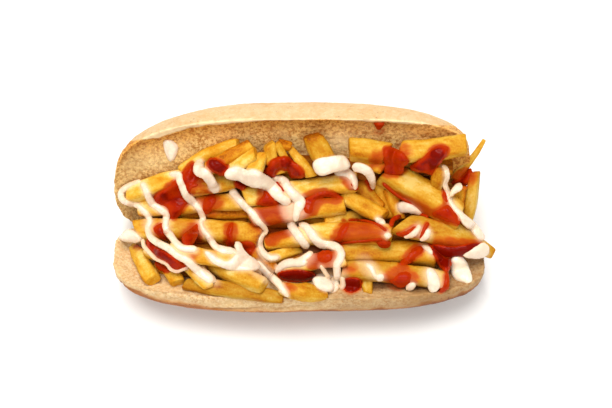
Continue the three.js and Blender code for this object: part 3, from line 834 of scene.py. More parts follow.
def patch(tree, poly, thick, rim=1.5, slope=1.0, step=0.95, lumps=0.0, seed=0, lift=0.0, feather=False):
    p = rounded(poly)
    lo, hi = p.min(0) - 1, p.max(0) + 1
    gx, gy = np.meshgrid(np.arange(lo[0], hi[0], step), np.arange(lo[1], hi[1], step), indexing="ij")
    px = np.stack([gx, gy], -1)
    res, near = inside(p, px)
    jag = noise(np.stack([gx.ravel(), gy.ravel(), np.full(gx.size, seed * 3.3)], 1), 4.5, 6).reshape(gx.shape)
    ok = res & (near > 0.5 + 0.5 * jag)
    if not ok.any():
        return np.zeros((0, 3)), np.zeros(0), np.zeros(0)
    depth, d = cast(tree, np.where(ok[..., None], px, px))
    depth = lowered(np.where(ok, depth, np.nan), step * PX_MM, step * PX_MM, slope)
    ok &= depth < 1e5
    depth = blurred(depth, ok, 3)
    e = np.clip((near - 0.5) * PX_MM / rim, 0, 1)
    s = e * e * (3 - 2 * e)
    t = thick * s - 0.22 * (1 - s) if feather else thick * np.sqrt(np.clip(1 - (1 - e) ** 2, 0.04, 1))     # a feathered edge runs out under the surface
    if lumps:
        t = t * (1 + lumps * noise(np.stack([gx.ravel() * PX_MM, gy.ravel() * PX_MM, np.full(gx.size, seed * 1.7)], 1), 3.4, 7).reshape(gx.shape))
    return blobs(depth, d, t, ok, lift)


def sauce_mesh(name, centres, radii, voxel, rounds):
    """One closed skin round all the blobs."""
    me = bpy.data.meshes.new(name)
    me.vertices.add(len(centres))
    me.vertices.foreach_set("co", metres(centres).astype(np.float32).ravel())
    a = me.attributes.new("r", "FLOAT", "POINT")
    a.data.foreach_set("value", (np.asarray(radii) * 0.001 + voxel * 0.00030).astype(np.float32))
    ob = bpy.data.objects.new(name, me)
    bpy.context.scene.collection.objects.link(ob)
    g = bpy.data.node_groups.new(name + "_skin", "GeometryNodeTree")
    g.interface.new_socket("Geometry", in_out="INPUT", socket_type="NodeSocketGeometry")
    g.interface.new_socket("Geometry", in_out="OUTPUT", socket_type="NodeSocketGeometry")
    n = g.nodes
    gi, go = n.new("NodeGroupInput"), n.new("NodeGroupOutput")
    rad_ = n.new("GeometryNodeInputNamedAttribute")
    rad_.data_type = "FLOAT"
    rad_.inputs["Name"].default_value = "r"
    mp = n.new("GeometryNodeMeshToPoints")
    pv = n.new("GeometryNodePointsToVolume")
    vm = n.new("GeometryNodeVolumeToMesh")
    pv.resolution_mode = "VOXEL_SIZE"
    pv.inputs["Voxel Size"].default_value = voxel * 0.001
    pv.inputs["Density"].default_value = 1.0
    vm.inputs["Threshold"].default_value = 0.1
    g.links.new(gi.outputs[0], mp.inputs["Mesh"])
    g.links.new(rad_.outputs["Attribute"], mp.inputs["Radius"])
    g.links.new(mp.outputs[0], pv.inputs["Points"])
    g.links.new(rad_.outputs["Attribute"], pv.inputs["Radius"])
    g.links.new(pv.outputs[0], vm.inputs["Volume"])
    g.links.new(vm.outputs[0], go.inputs[0])
    m = ob.modifiers.new("skin", "NODES")
    m.node_group = g
    applied(ob)
    me = ob.data
    e = edges_of(me)
    p = read_mesh(me).astype(float)
    p = relax(p, e, 2)
    p = relax(p, e, rounds, step=0.5, back=-0.5)
    write_verts(me, p)
    me.polygons.foreach_set("use_smooth", np.ones(len(me.polygons), bool))
    me.update()
    return ob


KETCHUP = [  # outline, thickness in mm, lumpiness, and a factor on how dark the colour reads: above 1 painted shade on the pools deep in shadow, below 1 painted light on lumps that catch it
    ([(152,197),(158,191),(165,187),(171,183),(177,178),(183,172),(188,166),(193,160),(197,165),(199,172),(205,176),(199,181),(194,187),(191,194),(191,201),(187,206),(183,211),(178,217),(173,222),(169,218),(168,209),(162,206),(155,204)], 0.95, .45),
    ([(206,160),(213,157),(221,160),(230,166),(228,173),(222,177),(214,172),(208,170)], 1.5, .3),
    ([(206,197),(212,193),(217,196),(218,202),(214,208),(209,213),(205,215),(202,211),(202,205),(203,200)], 0.7, .35),
    ([(232,184),(236,179),(242,181),(247,186),(245,192),(239,190)], 1.4, .2),
    ([(266,169),(270,160),(276,157),(284,155),(290,157),(296,162),(302,166),(306,173),(303,178),(296,179),(289,178),(288,171),(282,169),(276,171),(275,178),(268,177),(262,174)], 1.7, .35, 0.55),
    ([(262,190),(268,190),(274,197),(281,205),(270,207),(258,205),(256,202),(260,198),(263,194)], 0.8, .2),
    ([(301,199),(310,194),(318,191),(326,189),(335,191),(341,196),(343,201),(336,199),(328,197),(320,198),(316,202),(314,208),(313,214),(306,215),(302,210)], 0.85, .3),
    ([(334,240),(337,232),(342,225),(348,222),(351,225),(348,233),(343,241),(338,242)], 0.5, .4),
    ([(376,240),(383,238),(392,242),(390,247),(383,249),(377,246)], 0.9, .3),
    ([(320,251),(328,250),(334,253),(334,260),(328,264),(319,263),(315,258)], 0.5, .4),
    ([(276,273),(285,270),(300,268),(312,271),(318,276),(308,282),(290,282),(280,279)], 1.3, .1, 3.0),
    ([(343,277),(352,276),(361,277),(362,284),(361,291),(353,295),(345,294),(342,286)], 0.9, .1, 3.0),
    ([(388,280),(394,276),(401,271),(408,271),(413,276),(411,282),(405,287),(399,288),(392,284)], 0.7, .4),
    ([(446,270),(450,278),(449,288),(443,293),(438,292),(443,284),(444,276)], 0.8, .2),
    ([(383,148),(389,146),(396,149),(404,152),(409,158),(408,164),(403,166),(404,171),(398,176),(389,176),(383,172),(385,165),(382,158),(382,153)], 1.5, .5, 0.55),
    ([(408,168),(414,163),(424,155),(432,148),(440,144),(449,147),(449,152),(443,160),(437,168),(433,176),(426,173),(417,172)], 1.5, .55, 0.8),
    ([(441,195),(444,186),(448,196),(447,206),(442,200)], 0.8, .2),
    ([(450,182),(456,178),(464,174),(470,167),(473,172),(471,180),(465,187),(459,183),(453,186)], 1.1, .4),
    ([(430,213),(440,207),(447,204),(453,208),(458,216),(461,226),(452,223),(440,219)], 0.7, .3),
    ([(394,232),(405,230),(418,225),(421,230),(416,237),(405,238),(397,236)], 0.8, .2),
    ([(430,243),(440,243),(452,246),(466,243),(478,242),(486,246),(482,252),(474,254),(464,257),(452,258),(442,257),(434,251)], 2.0, .3),
    ([(427,241),(436,248),(444,256),(452,259),(451,268),(447,275),(440,268),(434,259),(429,250)], 1.6, .2),
    ([(416,246),(423,246),(425,252),(417,258),(409,264),(402,268),(397,266),(404,258),(411,250)], 0.7, .3),
    ([(153,228),(158,224),(163,222),(166,230),(168,240),(163,240),(157,236),(153,232)], 0.8, .3),
    ([(181,238),(186,232),(193,226),(198,222),(199,230),(197,238),(192,246),(187,249),(183,246)], 0.85, .3),
    ([(146,240),(150,238),(157,245),(165,250),(173,254),(181,260),(189,266),(184,269),(177,271),(171,270),(166,264),(160,260),(154,257),(149,251),(146,245)], 1.1, .4),
    ([(154,258),(160,263),(166,266),(172,272),(168,274),(160,271),(155,265)], 0.9, .3),
    ([(225,234),(228,226),(232,222),(235,226),(233,236),(236,244),(229,248),(225,244),(227,238)], 0.95, .3),
    ([(240,240),(248,240),(255,241),(256,248),(252,257),(248,259),(244,252),(241,246)], 0.9, .2),
    ([(373.5,121.4),(379,121),(386,121.4),(383.5,126.5),(379,131),(375,126.5)], 0.7, .1),
]
KETCHUP_STRANDS = [
    ([(384,184),(392,191),(400,197),(410,203),(418,212),(428,217)], 2.8),
    ([(391,226),(393,220),(400,216)], 3.5), ([(421,238),(424,230),(428,223)], 3.2), ([(275,181),(280,187),(283,191)], 2.0),
    ([(350,220.5),(366,221),(378,225),(386,231)], 1.8), ([(340,243),(360,241),(382,239)], 1.6), ([(197,185),(190,187),(184,190)], 2.6),
    ([(352,184),(358,189)], 3), ([(345,165),(352,178),(356,190)], 3), ([(366,180),(372,190)], 3),
]
# thin films that only colour what they lie on
FILMS = [     # how strong, outline
    (0.85, [(247,222),(250,210),(262,206),(284,204),(302,197),(318,190),(333,190),(343,200),(336,203),(326,200),(318,206),(314,216),(300,220),(285,224),(270,230),(258,231)]),
    (0.55, [(334,228),(345,220),(362,219),(385,227),(391,236),(382,241),(350,244),(334,244)]),
    (0.85, [(264,230),(290,224),(300,230),(284,238),(268,248)]),
    (0.6, [(132,244),(140,243),(144,250),(137,251)]),
    (0.75, [(410,247),(423,244),(425,251),(416,259),(404,268),(398,264),(405,255)]),
    (0.75, [(430,244),(452,256),(482,251),(488,246),(470,240),(440,238)]),
    (0.4, [(194,184),(212,186),(226,194),(224,208),(212,220),(199,216),(194,200)]),
    (0.6, [(184,168),(206,173),(204,184),(198,192),(192,200),(183,204)]),
    (0.85, [(310,248),(330,246),(338,250),(338,270),(304,270)]),
    (0.75, [(380,162),(404,163),(408,171),(398,177),(380,176)]),
    (0.7, [(444,196),(455,207),(463,224),(452,226),(436,220),(420,211),(404,201),(392,190),(402,193),(420,203),(436,209),(446,207)]),
    (0.75, [(178,234),(200,220),(204,234),(196,250),(182,250)]),
    (0.8, [(384,272),(404,266),(418,274),(416,286),(396,292),(384,284)]),
    (0.7, [(448,178),(472,164),(478,180),(464,190)]),
    (0.6, [(374,122),(386,122),(382,134),(376,136)]),
    (0.7, [(222,226),(236,220),(238,246),(226,252)]),
    (0.5, [(172,226),(190,220),(200,216),(196,222)]),
    (0.6, [(280,282),(292,284),(298,290),(288,292)]),
    (0.6, [(340,268),(352,262),(360,268),(350,274)]),
    (0.35, [(186,250),(200,250),(206,258),(190,262)]),
    (0.95, [(147,241),(157,245),(173,254),(188,266),(178,271),(168,267),(154,257),(148,249)]),
    (0.4, [(397,143),(405,143),(411,148),(415,156),(411,161),(405,158),(400,150)]),
    (0.6, [(368,160),(375,151),(382,150),(385,166),(372,168)]),
    (0.65, [(336,171),(345,173),(355,184),(353,191),(343,183)]),
    (0.7, [(260,182),(270,186),(276,196),(264,200),(256,196)]),
    (1.0, [(331,245),(333,232),(340,223),(348,219),(357,221),(353,230),(349,240),(343,246)]),
    (0.95, [(248,221),(251,212),(262,208),(282,207),(286,220),(272,224),(258,227)]),
]

MAYO = [  # path, width in px, and for those that span a gap how far above it they run, in mm
    ([(140,181),(132,184),(124,189),(121,194),(123,200),(130,203.5),(137,205),(143,210),(148,216),(150,222),(148,228),(150,236),(155,241),(162,245),(168,248),(173,252),(178,256),(186,260),(193,266),(200,272),(207,277),(213,281)],
     [4,4,5,5.5,5,4.5,5,5,5,5,5,5.5,6,6,6,6,6,6.5,7,8,9,9]),
    ([(142,183),(146,190),(149,198),(153,204),(160,209),(166,214),(166,220),(166,229),(171,236),(176,243),(182,248),(190,249),(197,249)], 6),
    ([(170,174),(178,175),(180,181),(183,188),(186,195),(191,200),(197,206),(201,212),(203,219),(201,222),(203,229),(208,236),(212,242),(216,247),(223,250),(230,251),(236,252)],
     [5,7,6,6,6.5,6.5,6,5.5,4.5,4,4.5,5,5.5,6,7,6,5]),
    ([(201,160),(199,166),(199,171),(205,174),(210,180),(214,187),(218,192)], [6,10,10,9,9,9,8]),
    ([(231,190),(236,196),(241,202),(247,208),(253,214),(257,220),(263,226),(266,231),(262,236),(260,242),(261,249),(265,255),(271,258),(279,257)],
     [7,7,6.5,6.5,6.5,6,5,3.2,4,5,5.5,6,6,4]),
    ([(262,183),(270,188),(277,195),(284,200),(290,204)], [9,8.5,8.5,9,9]),
    ([(273,179),(283,180),(288,188),(295,196),(300,202),(297,211),(295,221)], [5,7,8,9,10,8,5]),
    ([(290,222),(293,228),(298,235),(303,242),(308,248)], [8,8,8,7.5,6]),
    ([(300,224),(306,227),(311,233),(316,240),(322,244),(330,245),(338,248),(341,253),(340,259),(337,264),(337,272),(337,280),(335,284)],
     [5,7,8,8,8,7,7,7,7,6.5,6.5,6.5,6]),
    ([(276,272),(282,266),(290,263),(300,263),(307,262)], [5,7,8,7,5]),
    ([(313,281),(320,278),(326,278),(332,281),(335,285),(333,290),(327,291)], [6,8,9,9,8,6,5]),
    ([(321,266),(327,275),(334,284)], 3.2), ([(342,277),(343,284),(341,290)], 4.5),
    ([(256,262),(262,268),(270,276),(278,283),(283,290),(288,296)], [7,6.5,6.5,6.5,5,3]),
    ([(143,240),(144,246),(149,252),(155,258),(161,261),(167,264),(171,269),(177,271),(183,269),(188,267)], 3),
    ([(335,172),(345,172),(352,177),(355,184),(355,189)], [9,8.5,7,5,2.5]),
    ([(353,167),(361,168),(368,172),(372,180),(373,189)], [9,9.5,9,6,3], [9,9,8,6,2]),
    ([(398,206),(403,207),(409,208),(415,210.5),(421,213.5)], [10,12,10,7,3]),
    ([(376,219),(380,221),(385,224)], [5,6,5]), ([(385,235),(391,236)], 6),
    ([(405,237),(413,234),(418,229),(419,225)], [3,5,5,4]), ([(421,240),(426,236),(429,229)], [4,6,5]),
    ([(443,166),(446,170),(447,177),(445,184),(447,190),(449,197),(451,203),(455,209),(460,214),(466,221),(472,226),(477,232),(483,240)],
     [3.5,4.5,4.5,4.5,4,4,4,4.5,5.5,7.5,8,8,7]),
    ([(460,184),(458,187.5),(454,191),(450,196)], [6,7,5,2.5], [6,6,6,4]),
    ([(423,246),(428,249),(432,254)], [4,5,5]),
    ([(407,289),(411,286),(415,283)], [5,7,5]),
    ([(428,269),(432,276),(434,284),(431,291)], [6,10,12,9]),
    ([(367,264),(371,268),(374,274),(378,279)], [4,5,4,4]), ([(378,275),(382,280)], 8.5),
    ([(296,262),(306,257),(312,252)], [5,6,5]),
]
# thin mayonnaise that only clouds what it lies on
MAYO_FILMS = [
    (0.9, [(280,202),(300,198),(305,206),(304,216),(298,224),(288,225),(284,214)]),
    (0.4, [(205,276),(212,272),(220,279),(216,287),(208,286)]),
    (0.3, [(355,258),(366,256),(378,268),(384,282),(374,284),(362,270)]),
    (0.25, [(424,268),(438,266),(444,280),(442,292),(428,294),(422,280)]),
    (0.3, [(330,262),(345,266),(347,290),(330,292),(318,276)]),
    (0.5, [(236,262),(262,262),(282,282),(288,296),(270,284)]),
    (0.5, [(300,254),(316,250),(312,262),(298,266)]),
]
MAYO_PATCHES = [
    ([(117,238),(122,234),(127,229),(131,229),(136,232),(140,237),(143,240),(138,243),(129,242),(121,241)], 1.3, .3),
    ([(224,174),(228,169),(235,166),(243,168),(248,171),(252,169),(257,170),(264,174),(271,178),(277,184),(282,190),(284,196),(276,196),(270,192),(264,188),(256,188),(249,186),(243,183),(238,180),(231,180),(226,178)], 1.5, .15),
    ([(236,241),(241,243),(244,250),(250,256),(258,261),(261,267),(256,271),(243,271),(228,270),(214,264),(207,257),(204,251),(209,251),(221,260),(228,262),(233,257),(237,251),(234,246)], 1.15, .15),
    ([(163,141),(169,139),(175,142),(178.5,147),(177,153),(174,160),(170,162),(167,157),(164,149)], 1.5, .1),
    ([(313,164),(317,160),(330,158),(343,156),(347,160),(350,167),(341,170),(330,172),(322,175),(316,172)], 3.2, .2),
    ([(452,258),(458,256),(464,260),(468,268),(471,277),(470,283),(463,281),(455,279),(452,270)], 3.6, .2),
    ([(312,278),(322,276),(330,279),(334,286),(332,292),(322,291),(314,286)], 1.8, .2),
    ([(196,262),(204,268),(212,274),(217,280),(213,284),(206,280),(199,273),(192,266)], 0.55, .2),
    ([(462,255),(470,250),(477,246),(483,242),(488,245),(490,251),(486,257),(476,259),(466,258)], 1.2, .3),
]

roll_v, roll_f = mesh_arrays(roll)
base_tree = tree_of((roll_v, roll_f), (fries_v, fries_f), (core_v, core_f))

kc, kr, kt = [], [], []
for n_, (poly, thick, lump, *light_and_shade) in enumerate(KETCHUP):
    c_, r_, t_ = patch(base_tree, poly, thick, rim=2.0, lumps=lump, seed=n_, feather=True)
    # the factor darkens or lightens the colour: painted shade and painted light
    kc.append(c_), kr.append(r_), kt.append(t_ * (light_and_shade[0] if light_and_shade else 1.0))
for n_, (pts, w_) in enumerate(KETCHUP_STRANDS):
    c_, r_, t_ = strand(base_tree, pts, w_, seed=60 + n_)
    kc.append(c_), kr.append(r_), kt.append(t_)
kc, kr, kt = np.vstack(kc), np.concatenate(kr), np.concatenate(kt)
KV = 0.42
ketchup = sauce_mesh("ketchup", kc, kr, KV, 5)

kv, kf = mesh_arrays(ketchup)
full_tree = tree_of((roll_v, roll_f), (fries_v, fries_f), (core_v, core_f), (kv, kf))
mc, mr, mt = [], [], []
for n_, (poly, thick, lump) in enumerate(MAYO_PATCHES):
    c_, r_, t_ = patch(full_tree, poly, thick, lumps=lump, seed=30 + n_, rim=1.9)
    mc.append(c_), mr.append(r_), mt.append(t_)
for n_, (pts, w_, *up_) in enumerate(MAYO):
    c_, r_, t_ = strand(full_tree, pts, w_, seed=90 + n_, lift=up_[0] if up_ else 0.0)
    mc.append(c_), mr.append(r_), mt.append(t_)
mc, mr, mt = np.vstack(mc), np.concatenate(mr), np.concatenate(mt)
mayo = sauce_mesh("mayonnaise", mc, mr, KV, 6)
mv, mf = mesh_arrays(mayo)


def near_to(points, cloud, weight=None):
    """How far, in mm, each point lies from the cloud, and the weight of the nearest of it."""
    tree = KDTree(len(cloud))
    for i, c in enumerate(cloud):
        tree.insert(c, i)
    tree.balance()
    out, w = np.zeros(len(points)), np.zeros(len(points))
    for i, p in enumerate(points):
        hit = tree.find(p)
        out[i] = hit[2]
        w[i] = weight[hit[1]] if weight is not None else 0
    return out if weight is None else (out, w)


def film_cloud(films):
    """Points spread over what each film lies on, and how strong it is at each of them."""
    film, film_k = [], []
    for strong, poly in films:
        p = rounded(poly)
        lo, hi = p.min(0), p.max(0)
        gx, gy = np.meshgrid(np.arange(lo[0], hi[0], 1.5), np.arange(lo[1], hi[1], 1.5), indexing="ij")
        px = np.stack([gx, gy], -1)
        res, near = inside(p, px)
        px = px[res]
        depth, d = cast(base_tree, px)
        ok = ~np.isnan(depth)
        film.append(EYE + d[ok] * depth[ok][:, None])
        film_k.append(strong * (0.55 + 0.45 * smoothstep(0, 6, near[res][ok])))
    return np.vstack(film), np.concatenate(film_k)


film, film_k = film_cloud(FILMS)
milk, milk_k = film_cloud(MAYO_FILMS)

d_k = near_to(fries_v, kc)
d_f, k_f = near_to(fries_v, film, film_k)
wet = 0.5 * noise(fries_v, 3.2, 12) + 0.18 * noise(fries_v, 1.5, 13)
stain = np.maximum(0.90 * (1 - smoothstep(0.3, 1.5 + 0.9 * wet, d_k)), (k_f + 0.30 * wet) * (1 - smoothstep(0.6, 2.2 + 0.6 * wet, d_f)))
fries_at["stain"] = np.clip(stain, 0, 1)
d_m = near_to(fries_v, mc)
d_w, k_w = near_to(fries_v, milk, milk_k)
fries_at["creamy"] = np.clip(np.maximum((1 - smoothstep(0.5, 1.5 + 0.5 * wet, d_m)) * 0.55, (k_w + 0.35 * wet) * (1 - smoothstep(0.6, 2.0, d_w))), 0, 1)
fries = new_mesh("fries", fries_v, fries_f, fries_at)
fe = edges_of(fries.data)
for key in ("stain", "creamy"):             # its edge runs smoothly from point to point
    soft = relax(np.repeat(fries_at[key][:, None], 3, 1), fe, 2, 0.5, None)[:, 0]
    fries.data.attributes[key].data.foreach_set("value", soft.astype(np.float32))

d_k = near_to(roll_p, kc)
d_f = near_to(roll_p, film)
wet = 0.5 * noise(roll_p, 2.2, 14)
add_attr(roll.data, "stain", np.clip(np.maximum(0.9 * (1 - smoothstep(0.6, 2.2 + wet, d_k)), (0.5 + wet) * (1 - smoothstep(0.5, 1.6, d_f))), 0, 1))

kp = read_mesh(ketchup.data).astype(float)
mp_ = read_mesh(mayo.data).astype(float)
d = near_to(mp_, kc)
add_attr(mayo.data, "pink", np.clip(1 - smoothstep(0.7, 1.7, d), 0, 1))


def thinness(p, cloud, thick):
    tree = KDTree(len(cloud))
    for i, c in enumerate(cloud):
        tree.insert(c, i)
    tree.balance()
    return np.array([thick[tree.find(q)[1]] for q in p])


add_attr(ketchup.data, "thick", thinness(kp, kc, kt))
add_attr(mayo.data, "thick", thinness(mp_, mc, mt))


# ------------------------------------------------------------------ materials
def lin(r, g, b):
    """A colour as read off a screen, 0 to 255, to the linear values Blender takes."""
    return tuple((c / 255 / 12.92) if c / 255 <= 0.04045 else ((c / 255 + 0.055) / 1.055) ** 2.4 for c in (r, g, b)) + (1.0,)


class Paint:
    """Short names for the nodes that a material here is made of."""

    def __init__(self, name):
        self.mat = bpy.data.materials.new(name)
        self.mat.use_nodes = True
        self.t = self.mat.node_tree
        self.bsdf = next(n for n in self.t.nodes if n.type == "BSDF_PRINCIPLED")
        co = self.t.nodes.new("ShaderNodeTexCoord")
        mm = self.t.nodes.new("ShaderNodeVectorMath")
        mm.operation = "SCALE"
        mm.inputs["Scale"].default_value = 1000.0
        self.link(co.outputs["Object"], mm.inputs[0])
        self.here = mm.outputs[0]                      # this point in millimetres

    def link(self, a, b):
        self.t.links.new(a, b)

    def put(self, sock, v):
        if hasattr(v, "is_linked") or hasattr(v, "links"):
            self.link(v, sock)
        else:
            sock.default_value = v

    def attr(self, key, vector=False):
        n = self.t.nodes.new("ShaderNodeAttribute")
        n.attribute_name = key
        return n.outputs["Vector" if vector else "Fac"]

    def noise(self, size, detail=2.0, rough=0.5, at=None, distort=0.0):
        n = self.t.nodes.new("ShaderNodeTexNoise")
        n.inputs["Scale"].default_value = 1.0 / size
        n.inputs["Detail"].default_value = detail
        n.inputs["Roughness"].default_value = rough
        n.inputs["Distortion"].default_value = distort
        self.link(at or self.here, n.inputs["Vector"])
        return n.outputs[0]

    def cells(self, size, at=None, smooth=0.0):
        n = self.t.nodes.new("ShaderNodeTexVoronoi")
        n.feature = "SMOOTH_F1" if smooth else "F1"
        n.inputs["Scale"].default_value = 1.0 / size
        if smooth:
            n.inputs["Smoothness"].default_value = smooth
        self.link(at or self.here, n.inputs["Vector"])
        return n.outputs["Distance"]

    def stretch(self, at, x, y, z):
        n = self.t.nodes.new("ShaderNodeVectorMath")
        n.operation = "MULTIPLY"
        self.link(at, n.inputs[0])
        n.inputs[1].default_value = (x, y, z)
        return n.outputs[0]

    def moved(self, at, by, scale):
        """at + by * scale, to give each fry its own pattern."""
        n = self.t.nodes.new("ShaderNodeVectorMath")
        n.operation = "MULTIPLY_ADD"
        self.link(by, n.inputs[0])
        n.inputs[1].default_value = (scale, scale * 1.7, scale * 0.6)
        self.link(at, n.inputs[2])
        return n.outputs[0]

    def span(self, v, a, b, c=0.0, d=1.0, smooth=True):
        n = self.t.nodes.new("ShaderNodeMapRange")
        n.interpolation_type = "SMOOTHSTEP" if smooth else "LINEAR"
        self.put(n.inputs["Value"], v)
        for key, val in (("From Min", a), ("From Max", b), ("To Min", c), ("To Max", d)):
            self.put(n.inputs[key], val)
        return n.outputs["Result"]

    def maths(self, op, a, b=0.5, clamp=False):
        n = self.t.nodes.new("ShaderNodeMath")
        n.operation = op
        n.use_clamp = clamp
        self.put(n.inputs[0], a)
        self.put(n.inputs[1], b)
        return n.outputs[0]

    def mix(self, fac, a, b, kind="MIX"):
        n = self.t.nodes.new("ShaderNodeMix")
        n.data_type = "RGBA"
        n.blend_type = kind
        self.put(n.inputs[0], fac)
        self.put(n.inputs[6], a)
        self.put(n.inputs[7], b)
        return n.outputs[2]

    def ramp(self, v, stops):
        n = self.t.nodes.new("ShaderNodeValToRGB")
        els = n.color_ramp.elements
        while len(els) < len(stops):
            els.new(0.5)
        for e, (pos, col) in zip(els, stops):
            e.position, e.color = pos, col
        self.link(v, n.inputs[0])
        return n.outputs[0]

    def bump(self, height, mm, strength=1.0, onto=None):
        n = self.t.nodes.new("ShaderNodeBump")
        n.inputs["Strength"].default_value = strength
        n.inputs["Distance"].default_value = mm * 0.001
        self.link(height, n.inputs["Height"])
        if onto is not None:
            self.link(onto, n.inputs["Normal"])
        return n.outputs[0]

    def set(self, **kw):
        names = dict(color="Base Color", rough="Roughness", normal="Normal", sss="Subsurface Weight", scale="Subsurface Scale",
                     spread="Subsurface Radius", spec="Specular IOR Level", coat="Coat Weight", coat_rough="Coat Roughness",
                     coat_normal="Coat Normal", ior="IOR", through="Transmission Weight")
        for k, v in kw.items():
            self.put(self.bsdf.inputs[names[k]], v)
        return self.mat


def bread_material():
    p = Paint("bread")
    crumb, brown, stain, lip_shade, front, fold, lower, end_darkening = (
        p.attr(k) for k in ("crumb", "brown", "stain", "lip_shade", "front", "fold", "lower", "end_darkening"))
    light_patch, row_shadow = p.attr("light_patch"), p.attr("row_shadow")
    broad, mid, fine, grain = p.noise(14, 3), p.noise(4.5, 3, 0.6), p.noise(1.7, 3, 0.6), p.noise(0.62, 3, 0.62)
    # crust: cream by the cut, brown only on the far outside
    b = p.maths("ADD", brown, p.maths("MULTIPLY", p.maths("SUBTRACT", mid, 0.5), 0.35), clamp=True)
    crust = p.ramp(b, [(0.0, lin(215, 184, 138)), (0.25, lin(206, 158, 98)), (0.55, lin(190, 120, 50)), (1.0, lin(140, 76, 26))])
    baked = p.span(b, 0.2, 1.0, 1.0, 0.1)           # where it is brown, the paler flecks are fainter
    crust = p.mix(p.maths("MULTIPLY", p.span(broad, 0.35, 0.65, 0.0, 0.45), baked), crust, lin(212, 168, 110))
    crust = p.mix(p.maths("MULTIPLY", p.span(mid, 0.36, 0.66, 0.0, 0.35), baked), crust, lin(204, 160, 104))
    crust = p.mix(p.maths("MULTIPLY", p.span(fine, 0.40, 0.70, 0.0, 0.40), baked), crust, lin(234, 208, 170))
    crust = p.mix(p.maths("MULTIPLY", p.span(broad, 0.36, 0.62, 0.0, 0.55), b), crust, lin(176, 104, 38))
    crust = p.mix(p.maths("MULTIPLY", p.span(mid, 0.46, 0.68, 0.0, 0.45), b), crust, lin(120, 62, 20))
    crust = p.mix(p.maths("MULTIPLY", p.span(grain, 0.45, 0.70, 0.0, 0.35), p.span(b, 0.3, 1.0, 1.0, 0.45)), crust, lin(204, 150, 84))
    pits = p.maths("MULTIPLY", p.span(p.cells(1.5, at=p.stretch(p.here, 0.8, 1, 1)), 0.30, 0.14), p.span(p.noise(3.2), 0.50, 0.62))
    crust = p.mix(p.maths("MULTIPLY", pits, p.maths("MULTIPLY_ADD", front, 0.6)), crust, lin(122, 70, 34))
    # painted shade: darker along the fold line of the front crust
    crust = p.mix(p.maths("MULTIPLY", fold, 0.75, clamp=True), crust, lin(150, 98, 54))
    # painted light along the lip's lower edge
    crust = p.mix(p.maths("MULTIPLY", p.attr("lip_light"), p.span(mid, 0.3, 0.7, 0.85, 0.5)), crust, lin(248, 222, 174))
    # crumb: a fine net of pale walls round darker pores, with painted shade under the lip
    net = p.maths("MULTIPLY_ADD", p.noise(1.30, 2, 0.55), 0.55)
    p.link(p.maths("ADD", p.maths("MULTIPLY", p.noise(0.55, 2, 0.5), 0.27), p.maths("MULTIPLY", p.noise(2.7, 2, 0.5), 0.18)), net.node.inputs[2])
    pore = p.span(net, 0.61, 0.41)                  # 1 on the walls, 0 in a pore
    inner = p.mix(pore, p.mix(lower, lin(171, 114, 46), lin(194, 150, 97)), p.mix(lower, lin(236, 199, 129), lin(220, 191, 145)))
    inner = p.mix(p.span(mid, 0.42, 0.68, 0.0, 0.42), inner, p.mix(lower, lin(192, 140, 72), lin(204, 160, 106)))
    inner = p.mix(p.span(broad, 0.40, 0.66, 0.0, 0.38), inner, p.mix(lower, lin(240, 204, 142), lin(232, 200, 144)))
    dots = p.maths("MULTIPLY", p.span(p.cells(2.0, at=p.stretch(p.here, 0.7, 1, 1)), 0.30, 0.15), p.span(p.noise(4.1), 0.47, 0.60))
    inner = p.mix(p.maths("MULTIPLY", dots, 0.5), inner, p.mix(lower, lin(150, 92, 40), lin(168, 112, 62)))
    # painted light on two patches of the upper crumb
    inner = p.mix(p.maths("MULTIPLY", light_patch, p.span(mid, 0.3, 0.7, 0.4, 0.65)), inner, lin(250, 220, 160))
    # painted shade under the lip and beneath the fries at the right end
    inner = p.mix(p.maths("MULTIPLY", lip_shade, p.span(mid, 0.2, 0.8, 0.78, 1.0)), inner, p.mix(pore, lin(178, 100, 24), lin(234, 168, 68)))
    # painted shadow under the lowest row of fries
    inner = p.mix(row_shadow, inner, p.mix(pore, lin(104, 56, 24), lin(140, 90, 48)))
    col = p.mix(crumb, crust, inner)
    col = p.mix(end_darkening, col, p.mix(p.span(mid, 0.3, 0.7, 0.9, 1.0), col, lin(192, 174, 152), "MULTIPLY"))
    wet = p.maths("MULTIPLY", stain, p.span(fine, 0.25, 0.7, 0.6, 1.0))
    col = p.mix(wet, col, lin(190, 84, 20))
    h = p.maths("ADD", p.maths("MULTIPLY", pore, p.maths("MULTIPLY", crumb, 0.7)), p.maths("ADD", fine, p.maths("MULTIPLY", grain, 0.45)))
    n = p.bump(h, 0.24, 0.7)
    return p.set(color=col, rough=p.span(fine, 0.3, 0.7, 0.60, 0.76), normal=n, sss=0.12, scale=0.0016,
                 spread=(1.0, 0.62, 0.34), spec=0.25)


